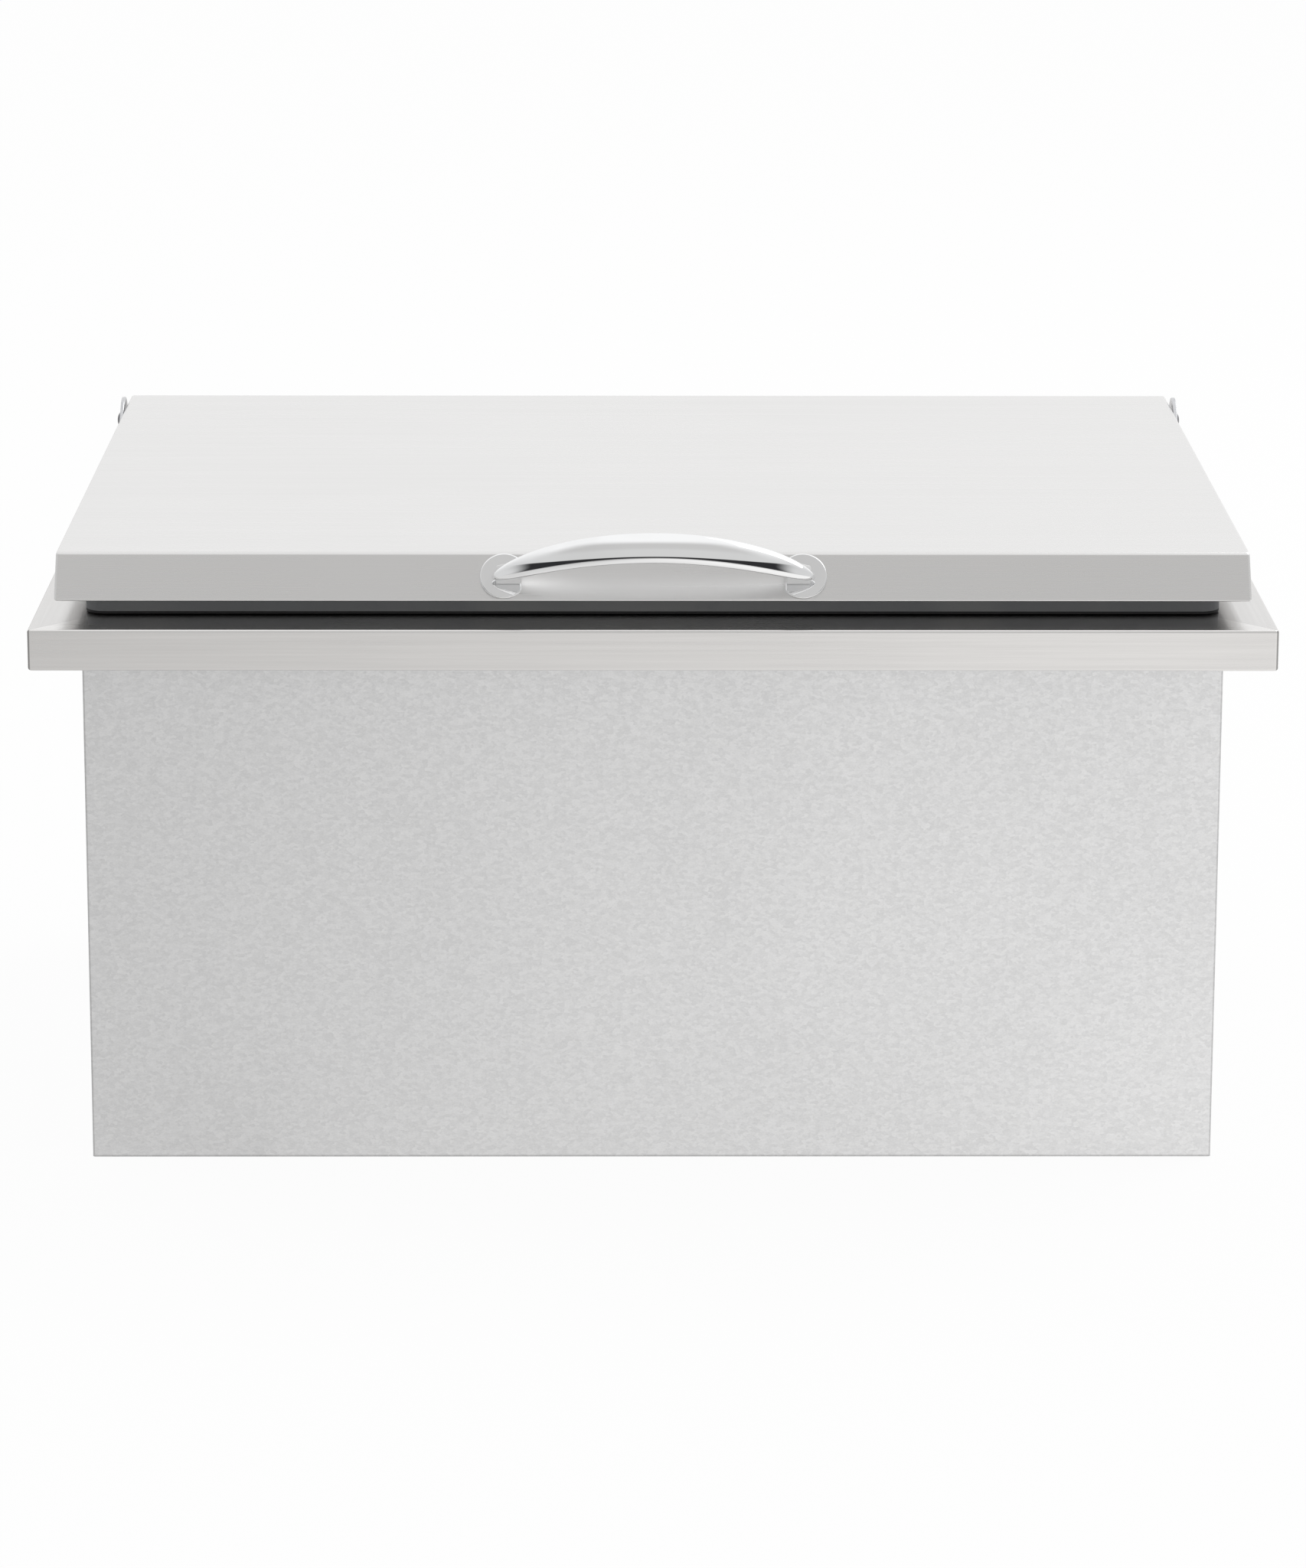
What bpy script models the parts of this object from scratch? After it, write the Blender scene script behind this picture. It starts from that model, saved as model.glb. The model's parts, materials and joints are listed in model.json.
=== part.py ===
"""Drop-in ice bin with a hinged lid, in metres.

+Z is up, the front faces -Y, and the origin is the middle of the underside, where the bin stands.
"""

import math

import bmesh
import bpy
from mathutils import Matrix, Vector

# Overall sizes
FLANGE_WIDTH = 0.7112
FLANGE_DEPTH = 0.508
FLANGE_TOP = 0.3246
FLANGE_OVERHANG = 0.0279
LID_INSET = 0.0141
LID_RISE = 0.0384
SEAT_GAP = 0.0003
OVERRUN = 0.004

# Counter flange
FLANGE_SHEET = 0.0015
FLANGE_LIP = 0.0240
FLANGE_RETURN = 0.010
FLANGE_BEND = 0.0009
FLANGE_CORNER = 0.0025

# Jacket of thin sheet
JACKET_SHEET = 0.001
JACKET_BEND = 0.001
JACKET_RETURN = 0.025
PAN_EDGE = 0.012

# Foam between tub and jacket
WALL_FOAM = 0.025
FLOOR_FOAM = 0.035

# Liner tub
TUB_SHEET = 0.0012
TUB_RIM = 0.009
TUB_RIM_BEND = 0.0015
TUB_CORNER = 0.028
TUB_COVE = 0.018

# Drain
DRAIN_FROM_SIDE = 0.095
DRAIN_FROM_BACK = 0.098
DISH_RADIUS = 0.042
DISH_SLOPE = 0.006
DISH_DEPTH = 0.0025
SPUD_FLANGE_RADIUS = 0.031
SPUD_FLANGE = 0.0015
SPUD_RADIUS = 0.018
SPUD_BORE = 0.012
SPUD_THROAT = 0.015
SPUD_THROAT_DEPTH = 0.010
SPUD_CLEARANCE = 0.005
STRAINER_SHEET = 0.0012
STRAINER_HOLE = 0.0018
STRAINER_RING = 0.0085
STRAINER_HOLES = 8
DRAIN_GASKET_RADIUS = 0.027
DRAIN_GASKET = 0.002
LOCKNUT_RADIUS = 0.027
LOCKNUT = 0.007
DRAIN_ACCESS = 0.034
PLUG_DISC_RADIUS = 0.0205
PLUG_DISC = 0.003
PLUG_STEM = 0.006
PLUG_TAPER = 0.0012
PLUG_KNOB_RADIUS = 0.006
PLUG_KNOB_NECK = 0.0035
PLUG_KNOB = 0.010

# Lid
LID_SHEET = 0.0012
LID_SKIRT = 0.0251
LID_REAR_SKIRT = 0.017
LID_LEAN = 0.017
LID_BEND = 0.0004
LID_RETURN = 0.008
LID_CORNER = 0.002
NOTCH_START = 0.004
NOTCH_RUN = 0.010
PAN_SHEET = 0.0008
PAN_SIDE_INSET = 0.0165
PAN_FRONT_INSET = 0.007
PAN_BEHIND = 0.0035
PAN_RIM = 0.0045
PAN_BEND = 0.0016
PAN_CORNER = 0.010
GASKET_WIDTH = 0.0105
GASKET_THICKNESS = 0.0018
GASKET_SKIRT = 0.0012
GASKET_SKIRT_HEIGHT = 0.0115

# Hinges at the lid's rear corners
PIVOT_BEHIND = 0.0255
PIVOT_DROP = 0.0115
EAR_SHEET = 0.0023
EAR_RADIUS = 0.015
EAR_FRONT = 0.050
EAR_FRONT_HEIGHT = 0.006
FOOT_WIDTH = 0.0145
FOOT_BACK = 0.014
PIVOT_BOLT_RADIUS = 0.003
PIVOT_HEAD_RADIUS = 0.0047
PIVOT_HEAD = 0.0028
PIVOT_RIM = 0.0008
WASHER_RADIUS = 0.0062
WASHER = 0.001
NUT_RADIUS = 0.0058
NUT = 0.005
BOLT_END = 0.0015
RIVET_RADIUS = 0.002
RIVET_HEAD_RADIUS = 0.0036
RIVET_HEAD = 0.0013
RIVET_TAIL_RADIUS = 0.003
RIVET_TAIL = 0.0015
RIVET_PLACE_SHARES = (0.22, 0.78)
BACK_RIVET_SHARES = (0.12, 0.5, 0.88)

# Handle on the lid's leaning face
HANDLE_SPACING = 0.1706
HANDLE_TIP = 0.0069
HANDLE_RISE = 0.040
HANDLE_END_RISE = 0.0048
BOW_WIDTH = 0.0179
BOW_THICKNESS = 0.0080
BOW_TIP_WIDTH = 0.0105
BOW_TIP_THICKNESS = 0.0052
BOW_DROP = 0.0028
BOW_LIFT = 0.0020
BASE_RADIUS = 0.0137
BASE_FLAT = 0.0101
BASE_THICKNESS = 0.0018
BASE_BEVEL = 0.0006
LEG_WIDTH = 0.0095
LEG_LENGTH = 0.0145
LEG_DROP = 0.0008
SCREW_RADIUS = 0.0025
SCREW_HEAD_RADIUS = 0.0045
SCREW_HEAD = 0.0026
SCREW_DEPTH = 0.0045

# How finely round shapes are divided, and how the bow swells towards its middle
ROUND_SIDES = 24
SMALL_SIDES = 12
CORNER_STEPS = 5
BEND_STEPS = 3
DOME_STEPS = 3
BOW_STATIONS = 22
BOW_SIDES = 14
BOW_TIP_POWER = 8
BOW_TAPER_POWER = 2.5

# Places worked out from the sizes above
FLANGE_X = FLANGE_WIDTH / 2
FLANGE_Y = FLANGE_DEPTH / 2
JACKET_X = FLANGE_X - FLANGE_OVERHANG
JACKET_Y = FLANGE_Y - FLANGE_OVERHANG
JACKET_TOP = FLANGE_TOP - FLANGE_SHEET - SEAT_GAP
JACKET_INSIDE_X = JACKET_X - JACKET_SHEET - SEAT_GAP
JACKET_INSIDE_FRONT = -JACKET_Y + JACKET_SHEET + SEAT_GAP
JACKET_INSIDE_BACK = JACKET_Y - 2 * (JACKET_SHEET + SEAT_GAP)
FLOOR_FOAM_BOTTOM = JACKET_SHEET + SEAT_GAP
FLOOR_FOAM_TOP = FLOOR_FOAM_BOTTOM + FLOOR_FOAM
TUB_X = JACKET_INSIDE_X - WALL_FOAM - SEAT_GAP - TUB_SHEET
TUB_Y = -JACKET_INSIDE_FRONT - WALL_FOAM - SEAT_GAP - TUB_SHEET
TUB_FLOOR = FLOOR_FOAM_TOP + SEAT_GAP + TUB_SHEET
DRAIN_X = TUB_X - DRAIN_FROM_SIDE
DRAIN_Y = TUB_Y - DRAIN_FROM_BACK
WALL_FOAM_TOP = JACKET_TOP - TUB_SHEET - SEAT_GAP
LID_X = FLANGE_X - LID_INSET
LID_Y = FLANGE_Y - LID_INSET
LID_TOP = FLANGE_TOP + LID_RISE
LID_BOTTOM = LID_TOP - LID_SKIRT
LID_FRONT_TOP = -LID_Y + LID_LEAN
PIVOT_Y = LID_Y - PIVOT_BEHIND
PIVOT_Z = LID_TOP - PIVOT_DROP
GASKET_BOTTOM = FLANGE_TOP + SEAT_GAP
GASKET_TOP = GASKET_BOTTOM + GASKET_THICKNESS
LID_PAN_BOTTOM = GASKET_TOP + SEAT_GAP
LID_PAN_TOP = LID_TOP - LID_SHEET - SEAT_GAP
LID_PAN_X = LID_X - PAN_SIDE_INSET
LID_PAN_FRONT = LID_FRONT_TOP + PAN_FRONT_INSET
LID_PAN_BACK = PIVOT_Y - PAN_BEHIND
EAR_INSIDE = LID_X + WASHER + 2 * SEAT_GAP
EAR_OUTSIDE = EAR_INSIDE + EAR_SHEET
FOOT_TOP = FLANGE_TOP + SEAT_GAP + EAR_SHEET
PIVOT_HOLE = PIVOT_BOLT_RADIUS + SEAT_GAP
RIVET_HOLE = RIVET_RADIUS + SEAT_GAP
SCREW_HOLE = SCREW_RADIUS + SEAT_GAP
DISH_FLOOR = TUB_FLOOR - DISH_DEPTH
SPUD_TOP = DISH_FLOOR + SEAT_GAP + SPUD_FLANGE
SPUD_HOLE = SPUD_RADIUS + SEAT_GAP
LEDGE = SPUD_TOP - SPUD_THROAT_DEPTH
FACE_CENTRE = Vector((0, (LID_FRONT_TOP - LID_Y) / 2, (LID_TOP + LID_BOTTOM) / 2))
FACE_UP = Vector((0, LID_LEAN, LID_SKIRT)).normalized()
FACE_OUT = Vector((0, -LID_SKIRT, LID_LEAN)).normalized()
FACE_SHEET = LID_SHEET * FACE_OUT.dot(Vector((0, -1, 0)))


def clear_scene():
    """Removes the objects that the scene starts with."""
    for item in list(bpy.data.objects):
        bpy.data.objects.remove(item)


def metal(name, colour, roughness, metallic=1.0):
    """A Principled material in one colour."""
    look = bpy.data.materials.new(name)
    look.use_nodes = True
    shader = look.node_tree.nodes["Principled BSDF"]
    shader.inputs["Base Color"].default_value = (*colour, 1.0)
    shader.inputs["Roughness"].default_value = roughness
    shader.inputs["Metallic"].default_value = metallic
    look.diffuse_color = (*colour, 1.0)
    return look


def soft(name, colour, roughness):
    """A material without metal."""
    return metal(name, colour, roughness, 0.0)


def frame_at(name, place):
    """An empty that carries the pieces of one moving body."""
    empty = bpy.data.objects.new(name, None)
    empty.location = place
    bpy.context.scene.collection.objects.link(empty)
    return empty


def clean(shape):
    """Merges doubled points and turns the faces outwards."""
    bmesh.ops.remove_doubles(shape, verts=shape.verts, dist=SEAT_GAP / 100)
    bmesh.ops.recalc_face_normals(shape, faces=shape.faces)
    if shape.calc_volume(signed=True) < 0:
        bmesh.ops.reverse_faces(shape, faces=shape.faces)
    return shape


def object_from(name, shape, carrier):
    """Makes an object of a shape given in world places, carried by an empty."""
    if carrier:
        bmesh.ops.translate(shape, verts=shape.verts, vec=-carrier.location)
    mesh = bpy.data.meshes.new(name)
    shape.to_mesh(mesh)
    shape.free()
    item = bpy.data.objects.new(name, mesh)
    item.parent = carrier
    bpy.context.scene.collection.objects.link(item)
    return item


def piece(name, shape, look, carrier, smooth_angle=35):
    """A visible piece with its material and smooth round faces."""
    item = object_from(name, shape, carrier)
    item.data.materials.append(look)
    item.data.shade_smooth()
    item.data.set_sharp_from_angle(angle=math.radians(smooth_angle))
    return item


def joined(shapes):
    """Several shapes in one mesh."""
    whole = bmesh.new()
    for shape in shapes:
        mesh = bpy.data.meshes.new("joining")
        shape.to_mesh(mesh)
        shape.free()
        whole.from_mesh(mesh)
        bpy.data.meshes.remove(mesh)
    return whole


def combine(item, name, shapes, operation):
    """Cuts hidden shapes out of a piece, or joins them to it."""
    helper = object_from(name, joined(shapes), None)
    helper.hide_render = True
    helper.display_type = "WIRE"
    modifier = item.modifiers.new(name, "BOOLEAN")
    modifier.operation = operation
    modifier.solver = "EXACT"
    modifier.object = helper


def rounded_rectangle(half_x, front, back, radius, z):
    """Points round a rectangle with rounded corners, level at z."""
    radius = max(radius, 0)
    centres = (
        (half_x - radius, back - radius),
        (radius - half_x, back - radius),
        (radius - half_x, front + radius),
        (half_x - radius, front + radius),
    )
    points = []
    for quarter, (x, y) in enumerate(centres):
        for step in range(CORNER_STEPS + 1):
            angle = math.pi / 2 * (quarter + step / CORNER_STEPS)
            points.append(Vector((x + radius * math.cos(angle), y + radius * math.sin(angle), z)))
    return points


def circle(x, y, radius, z):
    """The circle that a rounded rectangle becomes when its sides have no length."""
    ring = rounded_rectangle(radius, -radius, radius, radius, z)
    return [point + Vector((x, y, 0)) for point in ring]


def loft(rings, closed=False):
    """A solid through rings with equal counts of points, capped at both ends or joined round."""
    shape = bmesh.new()
    rows = [[shape.verts.new(point) for point in ring] for ring in rings]
    count = len(rows[0])
    last = len(rows) if closed else len(rows) - 1
    for index in range(last):
        low = rows[index]
        high = rows[(index + 1) % len(rows)]
        for side in range(count):
            after = (side + 1) % count
            shape.faces.new((low[side], low[after], high[after], high[side]))
    if not closed:
        shape.faces.new(rows[0])
        shape.faces.new(rows[-1])
    return clean(shape)


def cup(rings):
    """A thin shell whose rings run in over its outer face and then out over its inner face."""
    middle = len(rings) // 2
    return loft(rings[:middle][::-1] + rings[middle:][::-1])


def turned(outline, place, direction=(0, 0, 1), closed=False, sides=ROUND_SIDES):
    """Turns an outline of (radius, height) points about an axis through a place."""
    turn = Vector(direction).to_track_quat("Z", "Y").to_matrix().to_4x4()
    matrix = Matrix.Translation(place) @ turn
    rings = []
    for radius, height in outline:
        ring = []
        for side in range(sides):
            angle = 2 * math.pi * side / sides
            ring.append(matrix @ Vector((radius * math.cos(angle), radius * math.sin(angle), height)))
        rings.append(ring)
    return loft(rings, closed)


def rod(radius, start, length, direction=(0, 0, 1), sides=ROUND_SIDES):
    """A plain round rod from a starting point along a direction."""
    return turned(((radius, 0), (radius, length)), start, direction, sides=sides)


def dome(radius, height):
    """Outline points of a domed head, from its top out to its rim."""
    points = []
    for step in range(DOME_STEPS + 1):
        angle = math.pi / 2 * (1 - step / DOME_STEPS)
        points.append((radius * math.cos(angle), height * math.sin(angle)))
    return points


def through(radius, start, length, direction=(0, 0, 1), sides=SMALL_SIDES):
    """A cutter for a round hole, long enough to pass both faces."""
    start = Vector(start) - OVERRUN * Vector(direction)
    return rod(roomy(radius, sides), start, length + 2 * OVERRUN, direction, sides)


def block(low, high):
    """A box between two corners."""
    shape = bmesh.new()
    bmesh.ops.create_cube(shape, size=1)
    low = Vector(low)
    high = Vector(high)
    bmesh.ops.scale(shape, verts=shape.verts, vec=high - low)
    bmesh.ops.translate(shape, verts=shape.verts, vec=(low + high) / 2)
    return clean(shape)


def extruded(outline, place, along):
    """Extrudes an outline of flat points, each turned into a place, along a vector."""
    start = [place(*point) for point in outline]
    return loft([start, [point + Vector(along) for point in start]])


def sheet_outline(path, bends, thickness):
    """The closed outline of a bent sheet whose middle follows a path, with a radius for each bend."""
    corners = [Vector(point) for point in path]
    middle = []
    first = (corners[1] - corners[0]).normalized()
    middle.append((corners[0], Vector((-first.y, first.x))))
    for before, corner, after, radius in zip(corners, corners[1:], corners[2:], bends):
        ahead = (corner - before).normalized()
        onward = (after - corner).normalized()
        turn = math.atan2(ahead.x * onward.y - ahead.y * onward.x, ahead.dot(onward))
        side = math.copysign(1, turn)
        normal = Vector((-ahead.y, ahead.x))
        start = corner - ahead * radius * math.tan(abs(turn) / 2)
        centre = start + normal * side * radius
        for step in range(BEND_STEPS + 1):
            angle = turn * step / BEND_STEPS
            spin = Matrix.Rotation(angle, 2)
            turned_normal = spin @ normal
            middle.append((centre - turned_normal * side * radius, turned_normal))
    final = (corners[-1] - corners[-2]).normalized()
    middle.append((corners[-1], Vector((-final.y, final.x))))
    left = [point + normal * thickness / 2 for point, normal in middle]
    right = [point - normal * thickness / 2 for point, normal in reversed(middle)]
    return left + right


def roomy(radius, sides=ROUND_SIDES):
    """The radius of a many-sided hole whose flats lie outside a circle of this radius."""
    return radius / math.cos(math.pi / sides)


def make_flange(look, carrier, rivet_places):
    """The stainless frame that hangs the bin in a counter."""
    half = FLANGE_SHEET / 2
    bottom = FLANGE_TOP - FLANGE_LIP
    path = (
        (FLANGE_RETURN, bottom + half),
        (half, bottom + half),
        (half, FLANGE_TOP - half),
        (FLANGE_X - TUB_X, FLANGE_TOP - half),
    )
    rings = []
    opening_shift = (FLANGE_Y - TUB_Y) - (FLANGE_X - TUB_X)
    for inset, z in sheet_outline(path, (FLANGE_BEND, FLANGE_BEND), FLANGE_SHEET):
        at_opening = inset > FLANGE_RETURN + FLANGE_BEND
        inset_y = inset + opening_shift if at_opening else inset
        corner = TUB_CORNER if at_opening else FLANGE_CORNER - inset
        y = FLANGE_Y - inset_y
        rings.append(rounded_rectangle(FLANGE_X - inset, -y, y, corner, z))
    flange = piece("counter_flange", loft(rings, closed=True), look, carrier)
    start = FLANGE_TOP - FLANGE_SHEET
    holes = [through(RIVET_HOLE, (x, y, start), FLANGE_SHEET) for x, y in rivet_places]
    combine(flange, "flange_rivet_holes", holes, "DIFFERENCE")


def make_tub(look, carrier):
    """The liner tub, with coved corners, a turned rim under the flange and a dish round its drain."""
    half = TUB_SHEET / 2
    path = (
        (-TUB_SHEET - TUB_RIM, JACKET_TOP - half),
        (-half, JACKET_TOP - half),
        (-half, TUB_FLOOR - half),
        (TUB_COVE + half, TUB_FLOOR - half),
    )
    outline = sheet_outline(path, (TUB_RIM_BEND, TUB_COVE), TUB_SHEET)
    middle = len(outline) // 2
    walls = []
    for inset, z in outline:
        y = TUB_Y - inset
        walls.append(rounded_rectangle(TUB_X - inset, -y, y, TUB_CORNER - inset, z))
    dish_bottom = DISH_RADIUS - DISH_SLOPE
    hole = roomy(SPUD_HOLE, 4 * CORNER_STEPS)
    inside = [
        circle(DRAIN_X, DRAIN_Y, DISH_RADIUS, TUB_FLOOR),
        circle(DRAIN_X, DRAIN_Y, dish_bottom, DISH_FLOOR),
        circle(DRAIN_X, DRAIN_Y, hole, DISH_FLOOR),
    ]
    under = [
        circle(DRAIN_X, DRAIN_Y, hole, DISH_FLOOR - TUB_SHEET),
        circle(DRAIN_X, DRAIN_Y, dish_bottom, DISH_FLOOR - TUB_SHEET),
        circle(DRAIN_X, DRAIN_Y, DISH_RADIUS, TUB_FLOOR - TUB_SHEET),
    ]
    rings = walls[:middle] + inside + under + walls[middle:]
    piece("liner_tub", loft(rings, closed=True), look, carrier)


def back_rivet_places():
    """Where the back panel is riveted to the wrap's two returns."""
    places = []
    for side in (-1, 1):
        x = side * (JACKET_X - JACKET_SHEET - JACKET_RETURN / 2)
        places += [(x, share * JACKET_TOP) for share in BACK_RIVET_SHARES]
    return places


def make_jacket(look, carrier):
    """The wrap that makes the front and both sides, its back panel and the bottom pan."""
    half = JACKET_SHEET / 2
    x = JACKET_X - half
    front = -JACKET_Y + half
    back = JACKET_Y - JACKET_SHEET - SEAT_GAP - half
    end = x - JACKET_RETURN
    path = ((-end, back), (-x, back), (-x, front), (x, front), (x, back), (end, back))
    plan = sheet_outline(path, (JACKET_BEND,) * 4, JACKET_SHEET)
    wrap_shape = extruded(plan, lambda px, py: Vector((px, py, 0)), (0, 0, JACKET_TOP))
    wrap = piece("jacket_wrap", wrap_shape, look, carrier)
    panel_low = (-JACKET_X, JACKET_Y - JACKET_SHEET, 0)
    panel = piece("jacket_back_panel", block(panel_low, (JACKET_X, JACKET_Y, JACKET_TOP)), look, carrier)
    for item in (wrap, panel):
        holes = []
        for px, pz in back_rivet_places():
            depth = 2 * JACKET_SHEET + SEAT_GAP
            holes.append(through(RIVET_HOLE, (px, JACKET_Y, pz), depth, (0, -1, 0)))
        combine(item, item.name + "_holes", holes, "DIFFERENCE")
    make_bottom_pan(look, carrier)


def make_bottom_pan(look, carrier):
    """The pan that closes the jacket from below, its edges turned up inside the wrap."""
    half = JACKET_SHEET / 2
    path = ((half, PAN_EDGE), (half, half), (DRAIN_ACCESS, half))
    outline = sheet_outline(path, (JACKET_BEND,), JACKET_SHEET)
    middle = len(outline) // 2
    walls = []
    for inset, z in outline:
        front = JACKET_INSIDE_FRONT + inset
        back = JACKET_INSIDE_BACK - SEAT_GAP - inset
        walls.append(
            rounded_rectangle(JACKET_INSIDE_X - inset, front, back, JACKET_BEND - inset, z)
        )
    access = [
        circle(DRAIN_X, DRAIN_Y, DRAIN_ACCESS, outline[middle - 1].y),
        circle(DRAIN_X, DRAIN_Y, DRAIN_ACCESS, outline[middle].y),
    ]
    rings = walls[:middle] + access + walls[middle:]
    piece("jacket_bottom_pan", loft(rings, closed=True), look, carrier)


def make_foam(look, carrier):
    """The foam slabs round the tub and under it."""
    edge = JACKET_SHEET + SEAT_GAP
    back = JACKET_INSIDE_BACK - SEAT_GAP
    low = (-JACKET_INSIDE_X + edge, JACKET_INSIDE_FRONT + edge, FLOOR_FOAM_BOTTOM)
    high = (JACKET_INSIDE_X - edge, back - edge, FLOOR_FOAM_TOP)
    floor = piece("insulation_bottom", block(low, high), look, carrier)
    well_place = (DRAIN_X, DRAIN_Y, FLOOR_FOAM_BOTTOM)
    well = through(DISH_RADIUS + OVERRUN, well_place, FLOOR_FOAM, sides=ROUND_SIDES)
    combine(floor, "insulation_drain_well", [well], "DIFFERENCE")
    base = FLOOR_FOAM_TOP + SEAT_GAP
    tub_front = -TUB_Y - TUB_SHEET - SEAT_GAP
    low = (-JACKET_INSIDE_X, JACKET_INSIDE_FRONT, base)
    high = (JACKET_INSIDE_X, tub_front, WALL_FOAM_TOP)
    piece("insulation_front", block(low, high), look, carrier)
    low = (-JACKET_INSIDE_X, -tub_front, base)
    high = (JACKET_INSIDE_X, back, WALL_FOAM_TOP)
    rear = piece("insulation_back", block(low, high), look, carrier)
    pockets = []
    for x, z in back_rivet_places():
        radius = RIVET_TAIL_RADIUS + SEAT_GAP
        pockets.append(through(radius, (x, back, z), RIVET_TAIL, (0, -1, 0)))
    combine(rear, "insulation_rivet_pockets", pockets, "DIFFERENCE")
    end = -tub_front - SEAT_GAP
    inside = TUB_X + TUB_SHEET + SEAT_GAP
    for name, low_x, high_x in (
        ("insulation_left", -JACKET_INSIDE_X, -inside),
        ("insulation_right", inside, JACKET_INSIDE_X),
    ):
        piece(name, block((low_x, -end, base), (high_x, end, WALL_FOAM_TOP)), look, carrier)


def make_drain(steel, plated, rubber, carrier, plug_carrier):
    """The drain: flanged spud, strainer, sealing ring, locknut and the plug that closes it."""
    place = (DRAIN_X, DRAIN_Y, 0)
    spud = (
        (SPUD_BORE, SPUD_CLEARANCE),
        (SPUD_RADIUS, SPUD_CLEARANCE),
        (SPUD_RADIUS, SPUD_TOP - SPUD_FLANGE),
        (SPUD_FLANGE_RADIUS, SPUD_TOP - SPUD_FLANGE),
        (SPUD_FLANGE_RADIUS, SPUD_TOP - SPUD_FLANGE / 2),
        (SPUD_FLANGE_RADIUS - SPUD_FLANGE, SPUD_TOP),
        (SPUD_THROAT + PLUG_TAPER, SPUD_TOP),
        (SPUD_THROAT, SPUD_TOP - PLUG_STEM),
        (SPUD_THROAT, LEDGE),
        (SPUD_BORE, LEDGE),
    )
    piece("drain_spud", turned(spud, place, closed=True), steel, carrier)
    strainer_bottom = LEDGE + SEAT_GAP
    strainer_place = (DRAIN_X, DRAIN_Y, strainer_bottom)
    strainer = piece(
        "drain_strainer", rod(SPUD_THROAT - 2 * SEAT_GAP, strainer_place, STRAINER_SHEET), steel, carrier
    )
    holes = []
    for index in range(STRAINER_HOLES + 1):
        angle = 2 * math.pi * index / STRAINER_HOLES
        reach = STRAINER_RING if index < STRAINER_HOLES else 0
        x = DRAIN_X + reach * math.cos(angle)
        y = DRAIN_Y + reach * math.sin(angle)
        holes.append(through(STRAINER_HOLE, (x, y, strainer_bottom), STRAINER_SHEET))
    combine(strainer, "strainer_holes", holes, "DIFFERENCE")
    ring_top = DISH_FLOOR - TUB_SHEET - SEAT_GAP
    ring_bottom = ring_top - DRAIN_GASKET
    bore = roomy(SPUD_HOLE)
    ring_outline = (
        (bore, ring_bottom),
        (DRAIN_GASKET_RADIUS, ring_bottom),
        (DRAIN_GASKET_RADIUS, ring_top),
        (bore, ring_top),
    )
    piece("drain_gasket", turned(ring_outline, place, closed=True), rubber, carrier)
    nut_top = ring_bottom - SEAT_GAP
    nut_place = (DRAIN_X, DRAIN_Y, nut_top - LOCKNUT)
    nut = piece("drain_locknut", rod(LOCKNUT_RADIUS, nut_place, LOCKNUT, sides=6), plated, carrier)
    nut_bore = through(SPUD_HOLE, nut_place, LOCKNUT, sides=ROUND_SIDES)
    combine(nut, "drain_locknut_bore", [nut_bore], "DIFFERENCE")
    rest = SPUD_TOP + SEAT_GAP
    plug = (
        (0, rest - PLUG_STEM),
        (SPUD_THROAT - SEAT_GAP, rest - PLUG_STEM),
        (SPUD_THROAT + PLUG_TAPER - 2 * SEAT_GAP, rest),
        (PLUG_DISC_RADIUS, rest),
        (PLUG_DISC_RADIUS, rest + PLUG_DISC * 2 / 3),
        (PLUG_DISC_RADIUS - PLUG_DISC / 3, rest + PLUG_DISC),
        (PLUG_KNOB_NECK, rest + PLUG_DISC),
        (PLUG_KNOB_NECK, rest + PLUG_DISC + PLUG_KNOB / 2),
        (PLUG_KNOB_RADIUS, rest + PLUG_DISC + PLUG_KNOB * 2 / 3),
        (PLUG_KNOB_RADIUS, rest + PLUG_DISC + PLUG_KNOB * 8 / 9),
        (PLUG_KNOB_NECK, rest + PLUG_DISC + PLUG_KNOB),
        (0, rest + PLUG_DISC + PLUG_KNOB),
    )
    piece("drain_plug", turned(plug, place), rubber, plug_carrier)


def lid_ring(inset, z):
    """A ring round the lid, whose front side leans out as it goes down."""
    front = -LID_Y + LID_LEAN * (z - LID_BOTTOM) / LID_SKIRT
    return rounded_rectangle(LID_X - inset, front + inset, LID_Y - inset, LID_CORNER - inset, z)


def make_lid_skin(look, carrier):
    """The stainless lid: one sheet with a leaning front face, side skirts and a shorter rear skirt."""
    half = LID_SHEET / 2
    bend = LID_BEND + half
    path = (
        (LID_RETURN, LID_BOTTOM + half),
        (half, LID_BOTTOM + half),
        (half, LID_TOP - half),
        (2 * bend, LID_TOP - half),
    )
    outline = sheet_outline(path, (bend, bend), LID_SHEET)
    skin = piece("lid_skin", cup([lid_ring(inset, z) for inset, z in outline]), look, carrier)
    start = PIVOT_Y + NOTCH_START
    rear_bottom = LID_TOP - LID_REAR_SKIRT
    far = LID_Y + OVERRUN
    low = LID_BOTTOM - OVERRUN
    side_profile = (
        (start, low),
        (start, LID_BOTTOM),
        (start + NOTCH_RUN, rear_bottom),
        (far, rear_bottom),
        (far, low),
    )
    reach = LID_X + OVERRUN
    notch = extruded(side_profile, lambda y, z: Vector((-reach, y, z)), (2 * reach, 0, 0))
    holes = [notch]
    for side in (-1, 1):
        pivot_place = (side * LID_X, PIVOT_Y, PIVOT_Z)
        holes.append(through(PIVOT_HOLE, pivot_place, LID_SHEET, (-side, 0, 0)))
        holes.append(through(SCREW_HOLE, handle_foot(side), FACE_SHEET, -FACE_OUT))
    combine(skin, "lid_skin_cuts", holes, "DIFFERENCE")


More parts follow.
